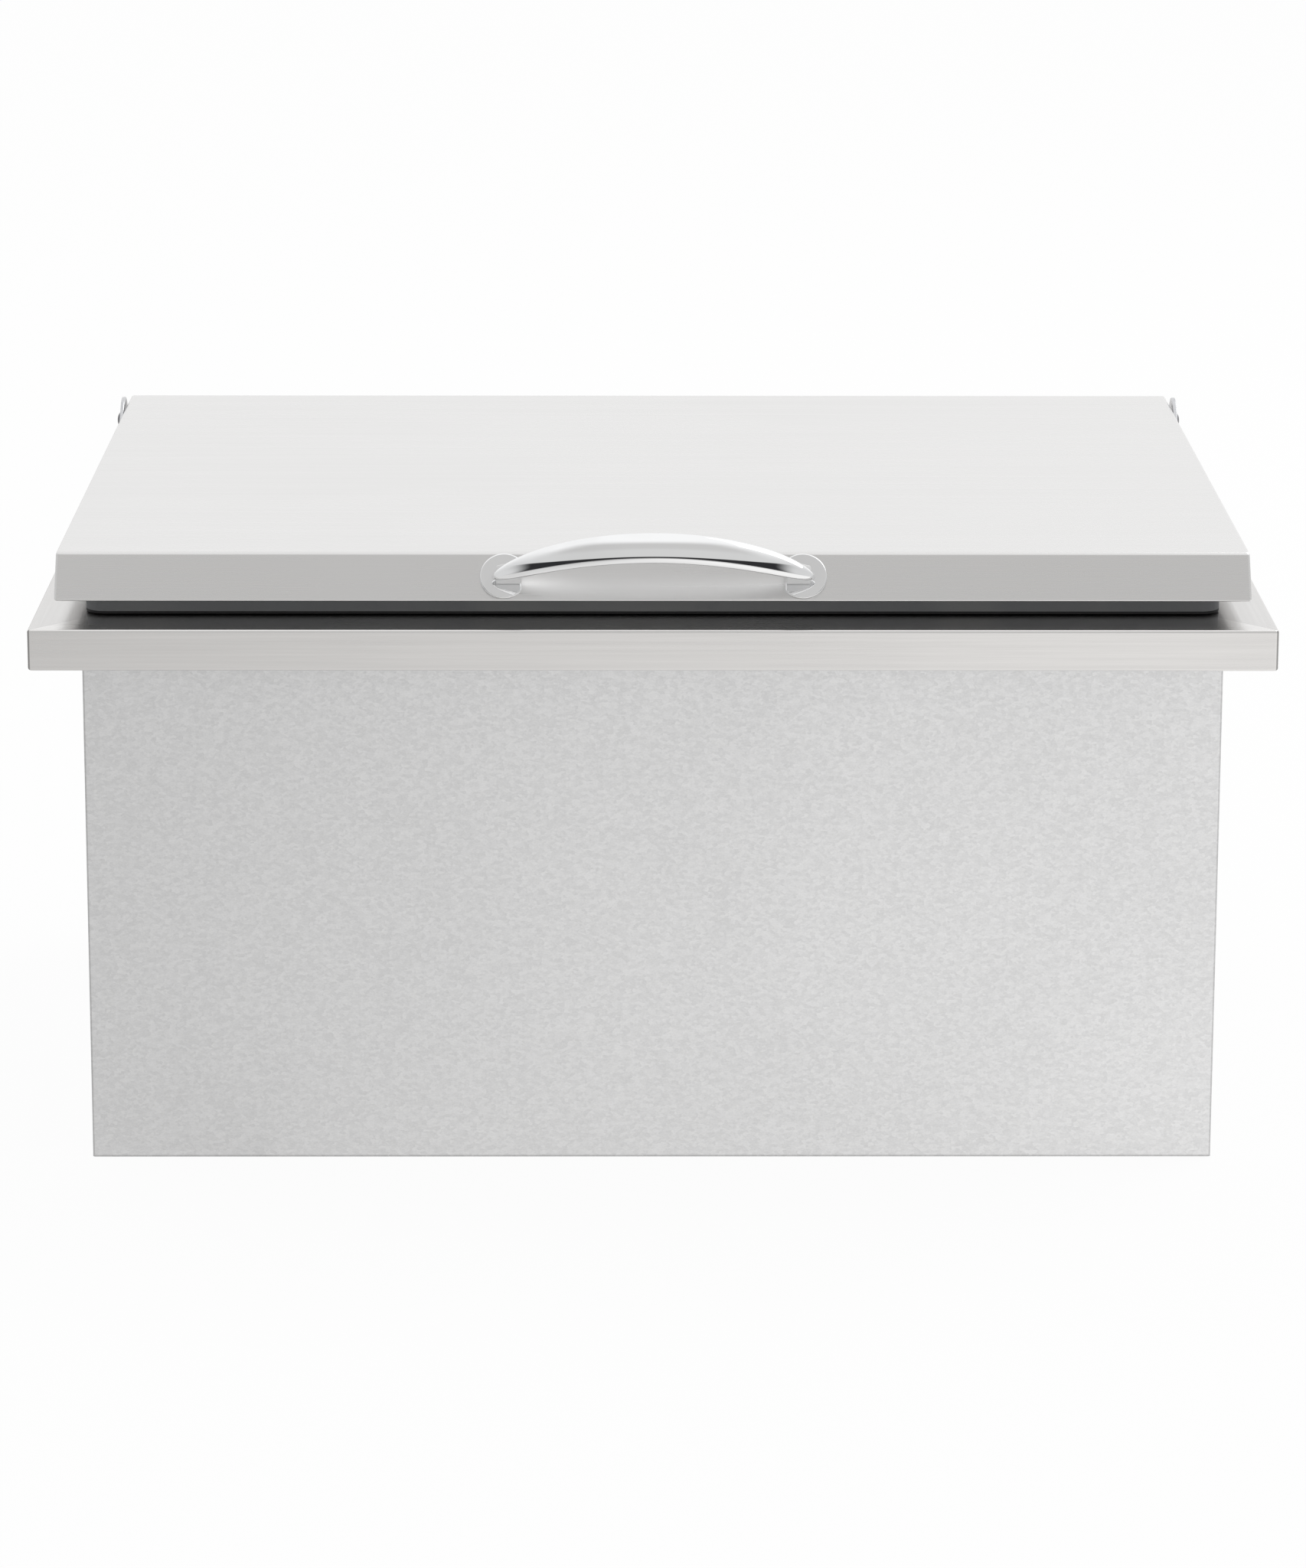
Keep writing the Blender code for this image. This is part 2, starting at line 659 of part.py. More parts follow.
def lid_pan_ring(inset, z):
    """A ring round the lid's pan, or inside it."""
    front = LID_PAN_FRONT + inset
    back = LID_PAN_BACK - inset
    return rounded_rectangle(LID_PAN_X - inset, front, back, PAN_CORNER - inset, z)


def make_lid_inside(steel, foam, rubber, carrier):
    """The pan under the lid, its foam and the gasket, whose skirt goes round the pan's wall."""
    half = PAN_SHEET / 2
    floor_inset = 2 * (PAN_BEND + PAN_SHEET)
    path = (
        (-PAN_RIM, LID_PAN_TOP - half),
        (half, LID_PAN_TOP - half),
        (half, LID_PAN_BOTTOM + half),
        (floor_inset, LID_PAN_BOTTOM + half),
    )
    outline = sheet_outline(path, (PAN_BEND, PAN_BEND), PAN_SHEET)
    piece("lid_pan", cup([lid_pan_ring(inset, z) for inset, z in outline]), steel, carrier)
    wall = PAN_SHEET + SEAT_GAP
    foam_outline = (
        (wall + PAN_BEND, LID_PAN_BOTTOM + wall),
        (wall, LID_PAN_BOTTOM + wall + PAN_BEND),
        (wall, LID_PAN_TOP),
    )
    piece("lid_insulation", loft([lid_pan_ring(inset, z) for inset, z in foam_outline]), foam, carrier)
    skirt_inside = -SEAT_GAP
    skirt_outside = skirt_inside - GASKET_SKIRT
    skirt_top = GASKET_BOTTOM + GASKET_SKIRT_HEIGHT
    gasket_outline = (
        (skirt_outside, GASKET_BOTTOM),
        (skirt_outside, skirt_top),
        (skirt_inside, skirt_top),
        (skirt_inside, GASKET_TOP),
        (GASKET_WIDTH, GASKET_TOP),
        (GASKET_WIDTH, GASKET_BOTTOM),
    )
    gasket_rings = [lid_pan_ring(inset, z) for inset, z in gasket_outline]
    piece("lid_gasket", loft(gasket_rings, closed=True), rubber, carrier)


def handle_foot(side):
    """Where one end of the handle stands on the lid's leaning face."""
    return FACE_CENTRE + Vector((side * HANDLE_SPACING / 2, 0, 0))


def on_face(x, up, out):
    """A place given across, up and out from the middle of the leaning face."""
    return FACE_CENTRE + Vector((x, 0, 0)) + FACE_UP * up + FACE_OUT * out


def bow_up(out):
    """How far up the face the bow runs: a little below its plates' middles at the tips, above them between."""
    end_out = BASE_THICKNESS + HANDLE_END_RISE
    share = (out - end_out) / (HANDLE_RISE - end_out)
    return (BOW_DROP + BOW_LIFT) * share - BOW_DROP


def bow_ring(angle, radius, centre_out, width, thickness):
    """One section of the bow: an oval, across the face and away from it."""
    along = Vector((math.cos(angle), 0, 0)) - FACE_OUT * math.sin(angle)
    away = along.cross(FACE_UP)
    if away.dot(FACE_OUT) < 0:
        away = -away
    out = centre_out + radius * math.cos(angle)
    middle = on_face(radius * math.sin(angle), bow_up(out), out)
    ring = []
    for side in range(BOW_SIDES):
        turn = 2 * math.pi * side / BOW_SIDES
        ring.append(middle + FACE_UP * width / 2 * math.cos(turn) + away * thickness / 2 * math.sin(turn))
    return ring


def make_handle(chrome, steel, carrier):
    """The chrome bow on its two feet, each on a round base plate held by a screw from inside."""
    reach = HANDLE_SPACING / 2 + HANDLE_TIP
    end_out = BASE_THICKNESS + HANDLE_END_RISE
    rise = HANDLE_RISE - end_out
    radius = (reach * reach + rise * rise) / (2 * rise)
    half_angle = math.asin(reach / radius)
    centre_out = HANDLE_RISE - radius
    rings = []
    for station in range(BOW_STATIONS + 1):
        share = 2 * station / BOW_STATIONS - 1
        fullness = math.sqrt(1 - abs(share) ** BOW_TIP_POWER)
        taper = 1 - abs(share) ** BOW_TAPER_POWER
        width = (BOW_TIP_WIDTH + (BOW_WIDTH - BOW_TIP_WIDTH) * taper) * fullness
        thickness = (BOW_TIP_THICKNESS + (BOW_THICKNESS - BOW_TIP_THICKNESS) * taper) * fullness
        rings.append(bow_ring(share * half_angle, radius, centre_out, width, thickness))
    bow = piece("handle_bow", loft(rings), chrome, carrier)
    legs = []
    bores = []
    base_out = BASE_THICKNESS + 2 * SEAT_GAP
    for side in (-1, 1):
        inner = HANDLE_SPACING / 2 - BASE_FLAT
        outer = inner + LEG_LENGTH
        leg_top = centre_out + math.sqrt(radius ** 2 - inner ** 2) - BOW_THICKNESS / 4
        leg_end = centre_out + math.sqrt(radius ** 2 - outer ** 2)
        outline = ((inner, base_out), (outer, base_out), (outer, leg_end), (inner, leg_top))
        legs.append(
            extruded(
                outline,
                lambda x, out: on_face(side * x, -LEG_DROP - LEG_WIDTH / 2, out),
                FACE_UP * LEG_WIDTH,
            )
        )
        foot = handle_foot(side)
        start = foot + FACE_OUT * (base_out - OVERRUN)
        depth = SCREW_DEPTH + OVERRUN
        bores.append(rod(roomy(SCREW_HOLE, SMALL_SIDES), start, depth, FACE_OUT, SMALL_SIDES))
        name = "left" if side < 0 else "right"
        make_handle_base("handle_base_" + name, side, chrome, carrier)
        head_start = foot - FACE_OUT * (FACE_SHEET + SEAT_GAP)
        end = FACE_SHEET + base_out + SCREW_DEPTH
        screw = dome(SCREW_HEAD_RADIUS, SCREW_HEAD) + [(SCREW_RADIUS, 0), (SCREW_RADIUS, -end), (0, -end)]
        shape = turned(screw, head_start, -FACE_OUT, sides=SMALL_SIDES)
        piece("handle_screw_" + name, shape, steel, carrier)
    combine(bow, "handle_legs", legs, "UNION")
    combine(bow, "handle_screw_bores", bores, "DIFFERENCE")


def make_handle_base(name, side, look, carrier):
    """A round plate under one end of the bow, cut straight on the side towards the middle."""
    start = handle_foot(side) + FACE_OUT * SEAT_GAP
    outline = (
        (BASE_RADIUS, 0),
        (BASE_RADIUS, BASE_THICKNESS - BASE_BEVEL),
        (BASE_RADIUS - BASE_BEVEL, BASE_THICKNESS),
    )
    base = piece(name, turned(outline, start, FACE_OUT), look, carrier)
    flat = HANDLE_SPACING / 2 - BASE_FLAT
    inner = flat - BASE_RADIUS
    corners = ((flat, -OVERRUN), (inner, -OVERRUN), (inner, OVERRUN), (flat, OVERRUN))
    trim = extruded(
        corners,
        lambda x, out: on_face(side * x, -BASE_RADIUS - OVERRUN, out),
        FACE_UP * 2 * (BASE_RADIUS + OVERRUN),
    )
    hole = through(SCREW_HOLE, start, BASE_THICKNESS, FACE_OUT)
    combine(base, name + "_cuts", [trim, hole], "DIFFERENCE")


def rivet(name, place, direction, grip, look, carrier):
    """A rivet with a domed head on the outside and a set tail inside."""
    end = grip + 2 * SEAT_GAP
    outline = dome(RIVET_HEAD_RADIUS, RIVET_HEAD) + [
        (RIVET_RADIUS, 0),
        (RIVET_RADIUS, -end),
        (RIVET_TAIL_RADIUS, -end),
        (RIVET_RADIUS, -end - RIVET_TAIL + SEAT_GAP),
        (0, -end - RIVET_TAIL + SEAT_GAP),
    ]
    place = Vector(place) + SEAT_GAP * Vector(direction)
    piece(name, turned(outline, place, direction, sides=SMALL_SIDES), look, carrier)


def rivet_places_for_feet():
    """Where the hinge brackets' feet are riveted to the flange."""
    places = []
    foot_length = EAR_FRONT - FOOT_BACK
    for side in (-1, 1):
        x = side * (EAR_INSIDE - FOOT_WIDTH / 2)
        for share in RIVET_PLACE_SHARES:
            places.append((x, PIVOT_Y - EAR_FRONT + share * foot_length))
    return places


def ear_outline():
    """The hinge ear seen from the side: a sloping front, a round top about the pivot and a straight back."""
    base = FLANGE_TOP + SEAT_GAP
    front = PIVOT_Y - EAR_FRONT
    points = [(PIVOT_Y + EAR_RADIUS, base), (front, base), (front, base + EAR_FRONT_HEIGHT)]
    across = front - PIVOT_Y
    down = base + EAR_FRONT_HEIGHT - PIVOT_Z
    distance = math.hypot(across, down)
    start = math.atan2(down, across) - math.acos(EAR_RADIUS / distance)
    start %= 2 * math.pi
    steps = ROUND_SIDES // 2
    for step in range(steps + 1):
        angle = start * (1 - step / steps)
        points.append((PIVOT_Y + EAR_RADIUS * math.cos(angle), PIVOT_Z + EAR_RADIUS * math.sin(angle)))
    return points


def make_hinges(steel, carrier):
    """The bracket, bolt, washer and nut at each rear corner of the lid."""
    for side, name in ((-1, "left"), (1, "right")):
        inside = side * EAR_INSIDE
        along = (side * EAR_SHEET, 0, 0)
        ear = extruded(ear_outline(), lambda y, z: Vector((inside, y, z)), along)
        bracket = piece("hinge_bracket_" + name, ear, steel, carrier)
        foot_end = inside - side * FOOT_WIDTH
        foot_root = inside + side * EAR_SHEET / 2
        low = (min(foot_end, foot_root), PIVOT_Y - EAR_FRONT, FLANGE_TOP + SEAT_GAP)
        high = (max(foot_end, foot_root), PIVOT_Y - FOOT_BACK, FOOT_TOP)
        combine(bracket, "hinge_foot_" + name, [block(low, high)], "UNION")
        holes = [through(PIVOT_HOLE, (inside, PIVOT_Y, PIVOT_Z), EAR_SHEET, (side, 0, 0))]
        for x, y in rivet_places_for_feet():
            if x * side > 0:
                holes.append(through(RIVET_HOLE, (x, y, FLANGE_TOP), SEAT_GAP + EAR_SHEET))
        combine(bracket, "hinge_holes_" + name, holes, "DIFFERENCE")
        make_pivot(side, name, steel, carrier)
    grip = FLANGE_SHEET + SEAT_GAP + EAR_SHEET
    for index, (x, y) in enumerate(rivet_places_for_feet()):
        rivet(f"bracket_rivet_{index + 1}", (x, y, FOOT_TOP), (0, 0, 1), grip, steel, carrier)


def make_pivot(side, name, look, carrier):
    """One pivot bolt with its washer against the ear and its nut inside the lid's skirt."""
    outwards = (side, 0, 0)
    place = (side * (EAR_OUTSIDE + SEAT_GAP), PIVOT_Y, PIVOT_Z)
    nut_outside = LID_X - LID_SHEET - SEAT_GAP
    length = PIVOT_RIM + EAR_OUTSIDE + SEAT_GAP - nut_outside + NUT + BOLT_END
    rim = (PIVOT_HEAD_RADIUS, -PIVOT_RIM)
    shank = [rim, (PIVOT_BOLT_RADIUS, -PIVOT_RIM), (PIVOT_BOLT_RADIUS, -length), (0, -length)]
    bolt = dome(PIVOT_HEAD_RADIUS, PIVOT_HEAD - PIVOT_RIM) + shank
    bolt_place = Vector(place) + PIVOT_RIM * Vector(outwards)
    piece("pivot_bolt_" + name, turned(bolt, bolt_place, outwards, sides=SMALL_SIDES), look, carrier)
    washer_place = (side * (LID_X + SEAT_GAP), PIVOT_Y, PIVOT_Z)
    washer_shape = rod(WASHER_RADIUS, washer_place, WASHER, outwards, SMALL_SIDES)
    washer = piece("pivot_washer_" + name, washer_shape, look, carrier)
    washer_bore = through(PIVOT_HOLE, washer_place, WASHER, outwards)
    combine(washer, "washer_bore_" + name, [washer_bore], "DIFFERENCE")
    nut_place = (side * (nut_outside - NUT), PIVOT_Y, PIVOT_Z)
    nut = piece("pivot_nut_" + name, rod(NUT_RADIUS, nut_place, NUT, outwards, 6), look, carrier)
    combine(nut, "nut_bore_" + name, [through(PIVOT_HOLE, nut_place, NUT, outwards)], "DIFFERENCE")


def make_back_rivets(look, carrier):
    """The rivets that hold the back panel to the wrap's returns."""
    grip = 2 * JACKET_SHEET + SEAT_GAP
    for index, (x, z) in enumerate(back_rivet_places()):
        rivet(f"back_rivet_{index + 1}", (x, JACKET_Y, z), (0, 1, 0), grip, look, carrier)


def build():
    """Makes the whole bin."""
    clear_scene()
    stainless = metal("brushed_stainless", (0.62, 0.61, 0.60), 0.32)
    galvanised = metal("galvanised_sheet", (0.60, 0.62, 0.64), 0.48)
    chrome = metal("polished_chrome", (0.80, 0.80, 0.81), 0.08)
    fastener = metal("bright_fastener", (0.55, 0.55, 0.56), 0.25)
    foam = soft("white_foam", (0.86, 0.84, 0.76), 0.9)
    rubber = soft("black_rubber", (0.03, 0.03, 0.03), 0.6)
    bin_frame = frame_at("bin_frame", (0, 0, 0))
    lid_frame = frame_at("lid_hinge_axis", (0, PIVOT_Y, PIVOT_Z))
    plug_frame = frame_at("drain_axis", (DRAIN_X, DRAIN_Y, SPUD_TOP))
    make_flange(stainless, bin_frame, rivet_places_for_feet())
    make_tub(stainless, bin_frame)
    make_jacket(galvanised, bin_frame)
    make_foam(foam, bin_frame)
    make_drain(stainless, fastener, rubber, bin_frame, plug_frame)
    make_hinges(fastener, bin_frame)
    make_back_rivets(fastener, bin_frame)
    make_lid_skin(stainless, lid_frame)
    make_lid_inside(stainless, foam, rubber, lid_frame)
    make_handle(chrome, fastener, lid_frame)


build()
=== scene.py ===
# %% [markdown]
# # Dressing a drop-in ice bin
#
# An ice bin hangs in a counter by a stainless flange. Under the counter is a galvanised box full of
# foam, inside it a stainless tub, and on top a hinged lid with a chrome bow handle. The solids come
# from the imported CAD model. This lesson gives them the finishes of the real metals and replaces the
# pieces whose bends, bows and heads want a finer mesh than a solid needs.

import json
import math

import bmesh
import bpy
from mathutils import Matrix, Vector


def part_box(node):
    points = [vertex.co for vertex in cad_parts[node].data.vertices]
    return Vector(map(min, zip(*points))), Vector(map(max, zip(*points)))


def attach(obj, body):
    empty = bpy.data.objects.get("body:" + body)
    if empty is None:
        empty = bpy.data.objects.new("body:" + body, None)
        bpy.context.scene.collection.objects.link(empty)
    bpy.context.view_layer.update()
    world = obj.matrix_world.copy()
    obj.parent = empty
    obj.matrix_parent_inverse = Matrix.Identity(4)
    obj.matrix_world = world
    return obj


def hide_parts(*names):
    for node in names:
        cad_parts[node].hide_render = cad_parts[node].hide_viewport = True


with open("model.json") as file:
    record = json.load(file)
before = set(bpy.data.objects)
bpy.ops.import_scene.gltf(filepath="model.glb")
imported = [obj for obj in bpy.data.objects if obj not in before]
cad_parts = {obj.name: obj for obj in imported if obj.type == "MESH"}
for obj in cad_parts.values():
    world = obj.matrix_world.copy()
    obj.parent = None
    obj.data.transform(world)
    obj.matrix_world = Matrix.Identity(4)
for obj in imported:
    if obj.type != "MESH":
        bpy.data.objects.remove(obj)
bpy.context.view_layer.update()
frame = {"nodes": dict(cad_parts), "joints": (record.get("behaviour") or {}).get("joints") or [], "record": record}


def mm(length):
    """A length in millimetres, for the notes that the cells print."""
    return round(1000 * length, 1)


# %% [markdown]
# ## Places read from the frame
#
# Every finer piece has to sit exactly where its solid sits. The boxes of a few nodes give most
# places, so they are read rather than typed. What a box can't say, such as a sheet's thickness or
# the lean of the lid's face, is written once, in metres, beside the piece that it belongs to.

# %% Places of the large pieces
GAP, SIDES = 0.0003, ((-1, "left"), (1, "right"))
flange_low, flange_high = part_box("counter_flange")
tub_low, tub_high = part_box("liner_tub")
lid_low, lid_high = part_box("lid_skin")
pan_low, pan_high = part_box("lid_pan")
FLANGE_SHEET, FLANGE_RETURN, FLANGE_BEND, FLANGE_CORNER = 0.0015, 0.010, 0.0009, 0.0025
TUB_SHEET, TUB_RIM, TUB_RIM_BEND, TUB_CORNER, TUB_COVE = 0.0012, 0.009, 0.0015, 0.028, 0.018
LID_SHEET, LID_LEAN, LID_RETURN, LID_BEND, LID_CORNER = 0.0012, 0.017, 0.008, 0.0004, 0.002
FLANGE_X, FLANGE_Y = flange_high.x, flange_high.y
JACKET_X, JACKET_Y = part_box("jacket_wrap")[1].x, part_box("jacket_back_panel")[1].y
TUB_X = tub_high.x - TUB_SHEET - TUB_RIM
TUB_Y = tub_high.y - TUB_SHEET - TUB_RIM
LID_X, LID_Y, LID_TOP, LID_BOTTOM = lid_high.x, lid_high.y, lid_high.z, lid_low.z
LID_SKIRT = LID_TOP - LID_BOTTOM
hinge = next(joint for joint in frame["joints"] if joint["name"] == "lid_hinge")
PIVOT = Vector(hinge["pos_m"])
print("tub inside:", mm(2 * TUB_X), "x", mm(2 * TUB_Y), "mm; pivot at", PIVOT)

# %% [markdown]
# ## Small helpers for node trees
#
# A node tree reads best when each line says which node is added and what goes into it. These
# helpers take a plain value or another node's output for an input, in shader trees and in
# geometry trees alike.

# %% Node helpers
MIX_SOCKETS = {"RGBA": (6, 7, 2), "VECTOR": (4, 5, 1)}


def feed(tree, value, socket):
    """Puts a plain value or another node's output into a socket, and gives a colour its alpha."""
    if isinstance(value, bpy.types.NodeSocket):
        tree.links.new(value, socket)
    else:
        socket.default_value = (*value, 1) if socket.type == "RGBA" else value


def add(tree, kind, settings=None, **inputs):
    """Adds a node. An underscore in an input's name stands for a space."""
    node = tree.nodes.new(kind)
    for name, value in (settings or {}).items():
        setattr(node, name, value)
    for name, value in inputs.items():
        feed(tree, value, node.inputs[name.replace("_", " ")])
    return node


def maths(tree, operation, *values):
    """A Math node's result."""
    node = add(tree, "ShaderNodeMath", {"operation": operation})
    for value, socket in zip(values, node.inputs):
        feed(tree, value, socket)
    return node.outputs["Value"]


def mapped(tree, value, low, high, new_low=0.0, new_high=1.0, kind="LINEAR"):
    """Maps a value from one range to another and clamps it there."""
    node = add(tree, "ShaderNodeMapRange", {"interpolation_type": kind}, Value=value)
    ends = {"From Min": low, "From Max": high, "To Min": new_low, "To Max": new_high}
    for name, end in ends.items():
        feed(tree, end, node.inputs[name])
    return node.outputs["Result"]


def faded(tree, value, start, end, first=0.0, last=1.0):
    """Maps a value as above, with soft ends."""
    return mapped(tree, value, start, end, first, last, "SMOOTHSTEP")


def masked(tree, mask, bare, covered):
    """A number that goes from one value to another as a mask goes from 0 to 1."""
    return mapped(tree, mask, 0.0, 1.0, bare, covered)


def mixed(tree, factor, first, second, kind="RGBA"):
    """Mixes two colours or two vectors."""
    node = add(tree, "ShaderNodeMix", {"data_type": kind})
    first_socket, second_socket, result = MIX_SOCKETS[kind]
    for value, socket in ((factor, 0), (first, first_socket), (second, second_socket)):
        feed(tree, value, node.inputs[socket])
    return node.outputs[result]


def scaled(tree, vector, factor):
    """A vector or colour times a number."""
    node = add(tree, "ShaderNodeVectorMath", {"operation": "SCALE"}, Scale=factor)
    feed(tree, vector, node.inputs[0])
    return node.outputs[0]


def parts_of(tree, vector):
    """A vector's X, Y and Z."""
    return add(tree, "ShaderNodeSeparateXYZ", Vector=vector).outputs


def noise(tree, vector, scale, **more):
    """A noise texture's outputs."""
    return add(tree, "ShaderNodeTexNoise", Vector=vector, Scale=scale, **more).outputs


def bumped(tree, height, strength, distance):
    """A normal that leans as a height would make it lean."""
    return add(tree, "ShaderNodeBump", Strength=strength, Distance=distance, Height=height).outputs["Normal"]


def placed(tree, group, **inputs):
    """A node group's outputs, with its inputs set."""
    return add(tree, "ShaderNodeGroup", {"node_tree": group}, **inputs).outputs


def new_group(name, outputs, tree_kind="ShaderNodeTree", **inputs):
    """An empty node group. Each input is given its value, or else the name of its kind."""
    tree = bpy.data.node_groups.new(name, tree_kind)
    for label, value in inputs.items():
        kind = value if isinstance(value, str) else {int: "Int", float: "Float"}[type(value)]
        label = label.replace("_", " ")
        socket = tree.interface.new_socket(label, in_out="INPUT", socket_type="NodeSocket" + kind)
        if kind != value:
            socket.default_value = value
    for label, kind in outputs.items():
        tree.interface.new_socket(label, in_out="OUTPUT", socket_type="NodeSocket" + kind)
    return tree, tree.nodes.new("NodeGroupInput").outputs, tree.nodes.new("NodeGroupOutput").inputs


# %% [markdown]
# ## Effects that several metals share
#
# Brushing leaves long hair-thin scratches, all one way. Fingers and cloths leave faint clouds that
# change the gloss more than the colour. Zinc freezes into small crystals that each catch the light
# a little differently. Along a box's upright corners, a thin line of painted shade stands in for the
# shade that falls there. Each effect is one node group, so that the lid, the flange and the bolts
# can have it at their own scale. The groups put out values and normals only: the shader itself stays
# in each material, where the export can read it.

# %% Brushed lines
NOISE_LOW, NOISE_HIGH = 0.3, 0.7
BRUSH_LENGTH, BRUSH_WIDTH, BRUSH_DEPTH, BRUSH_RELIEF = 0.06, 0.0005, 0.035, 0.0001
FINE_DETAIL, FINE_SHARE, COARSE_DETAIL, COARSE_SCALE = 2.0, 0.5, 1.0, 0.21


def make_brushed_lines():
    """Thin scratches that run along the vector's X."""
    tree, given, made = new_group(
        "brushed_lines",
        {"Lines": "Float", "Normal": "Vector"},
        Vector="Vector",
        Length=BRUSH_LENGTH,
        Width=BRUSH_WIDTH,
        Depth=BRUSH_DEPTH,
    )
    x, y, z = parts_of(tree, given["Vector"])
    along = maths(tree, "DIVIDE", x, given["Length"])
    across = maths(tree, "DIVIDE", y, given["Width"])
    upward = maths(tree, "DIVIDE", z, given["Width"])
    stretched = add(tree, "ShaderNodeCombineXYZ", X=along, Y=across, Z=upward).outputs[0]
    fine = noise(tree, stretched, 1.0, Detail=FINE_DETAIL)["Fac"]
    coarse = noise(tree, scaled(tree, stretched, COARSE_SCALE), 1.0, Detail=COARSE_DETAIL)["Fac"]
    fine_part = maths(tree, "MULTIPLY", fine, FINE_SHARE)
    both = maths(tree, "MULTIPLY_ADD", coarse, 1 - FINE_SHARE, fine_part)
    feed(tree, mapped(tree, both, NOISE_LOW, NOISE_HIGH), made["Lines"])
    feed(tree, bumped(tree, both, given["Depth"], BRUSH_RELIEF), made["Normal"])
    return tree


brushed_lines = make_brushed_lines()

# %% Handling marks
CLOUD_SIZE, CLOUD_DETAIL, CLOUD_SWIRL, CLEAN, DULL = 0.1, 4.0, 0.6, 0.42, 0.68


def make_handling_marks():
    """Faint clouds left by hands and cloths, from 0 where clean to 1 where dull."""
    tree, given, made = new_group("handling_marks", {"Mask": "Float"}, Vector="Vector", Size=CLOUD_SIZE)
    scale = maths(tree, "DIVIDE", 1.0, given["Size"])
    clouds = noise(tree, given["Vector"], scale, Detail=CLOUD_DETAIL, Distortion=CLOUD_SWIRL)["Fac"]
    feed(tree, faded(tree, clouds, CLEAN, DULL), made["Mask"])
    return tree


handling_marks = make_handling_marks()

# %% Zinc crystals
CRYSTAL_SIZE, CRYSTAL_DEPTH, CRYSTAL_RELIEF = 0.003, 0.1, 0.0002
CRYSTAL_DRIFT, CRYSTAL_SHARE, CRYSTAL_LOW, CRYSTAL_HIGH = 0.6, 0.3, 0.25, 0.75
GRIT_SCALE, GRIT_DETAIL, GRIT_ROUGHNESS, WARP_DETAIL = 1.7, 3.0, 0.65, 2.0


def make_zinc_crystals():
    """Small crystals of zinc: each has its own tone, with fine grit over all of them."""
    tree, given, made = new_group(
        "zinc_crystals",
        {"Tone": "Float", "Normal": "Vector"},
        Vector="Vector",
        Size=CRYSTAL_SIZE,
        Depth=CRYSTAL_DEPTH,
    )
    scale = maths(tree, "DIVIDE", 1.0, given["Size"])
    warp = noise(tree, given["Vector"], scale, Detail=WARP_DETAIL)["Color"]
    moved = add(tree, "ShaderNodeVectorMath", {"operation": "ADD"})
    feed(tree, given["Vector"], moved.inputs[0])
    feed(tree, scaled(tree, warp, maths(tree, "MULTIPLY", given["Size"], CRYSTAL_DRIFT)), moved.inputs[1])
    cells = add(tree, "ShaderNodeTexVoronoi", Vector=moved.outputs[0], Scale=scale)
    tone = add(tree, "ShaderNodeSeparateColor", Color=cells.outputs["Color"]).outputs["Red"]
    scale = maths(tree, "MULTIPLY", scale, GRIT_SCALE)
    grit = noise(tree, given["Vector"], scale, Detail=GRIT_DETAIL, Roughness=GRIT_ROUGHNESS)["Fac"]
    grit_part = maths(tree, "MULTIPLY", grit, 1 - CRYSTAL_SHARE)
    both = maths(tree, "MULTIPLY_ADD", tone, CRYSTAL_SHARE, grit_part)
    feed(tree, mapped(tree, both, CRYSTAL_LOW, CRYSTAL_HIGH), made["Tone"])
    feed(tree, bumped(tree, both, given["Depth"], CRYSTAL_RELIEF), made["Normal"])
    return tree


zinc_crystals = make_zinc_crystals()

# %% Painted corner shade
# Painted shade: a thin dark line down the upright corners, standing in for the shade there.
CORNER_SHADE_WIDTH, CORNER_SHADE_FULL, CORNER_SHADE_END = 0.001, 0.7, 1.1


def make_painted_corner_shade():
    """A mask of painted shade along the upright corners of a box that is centred on the origin."""
    tree, given, made = new_group(
        "corner_line",
        {"Mask": "Float"},
        Vector="Vector",
        Half_X=FLANGE_X,
        Half_Y=FLANGE_Y,
        Width=CORNER_SHADE_WIDTH,
    )
    x, y, z = parts_of(tree, given["Vector"])
    from_x = maths(tree, "SUBTRACT", given["Half X"], maths(tree, "ABSOLUTE", x))
    from_y = maths(tree, "SUBTRACT", given["Half Y"], maths(tree, "ABSOLUTE", y))
    inside = maths(tree, "DIVIDE", maths(tree, "MAXIMUM", from_x, from_y), given["Width"])
    feed(tree, faded(tree, inside, CORNER_SHADE_FULL, CORNER_SHADE_END, 1.0, 0.0), made["Mask"])
    return tree


corner_line = make_painted_corner_shade()
print("groups:", ", ".join(group.name for group in bpy.data.node_groups))

# %% [markdown]
# ## The finishes
#
# Stainless sheet of this kind is brushed lengthwise before it is bent, so a front piece shows lines
# from left to right, and the flange's side bars, cut from their own strips, show lines from front
# to back; their tops are made a little darker by painted shade. Where two bars meet, a mitre seam is
# welded and ground flat, and the lip's corner below it gets a thin line of painted shade. The lines
# turn at the seam, which is why the direction is chosen by place on the flange and by the way a face
# looks on the lid.


# %% A material to start from
def new_material(name, metallic, roughness=None):
    """A Principled material, its tree and its Object coordinates."""
    look = bpy.data.materials.new(name)
    look.use_nodes = True
    tree = look.node_tree
    sockets = tree.nodes["Principled BSDF"].inputs
    sockets["Metallic"].default_value = metallic
    if roughness is not None:
        sockets["Roughness"].default_value = roughness
    return look, tree, add(tree, "ShaderNodeTexCoord").outputs["Object"]


def surfaced(look, tone, normal=None, roughness=None):
    """Feeds a tone, and a normal and a roughness if they vary, to a material's shader."""
    tree = look.node_tree
    for name, value in {"Base Color": tone, "Normal": normal, "Roughness": roughness}.items():
        if value is not None:
            feed(tree, value, tree.nodes["Principled BSDF"].inputs[name])
    return look


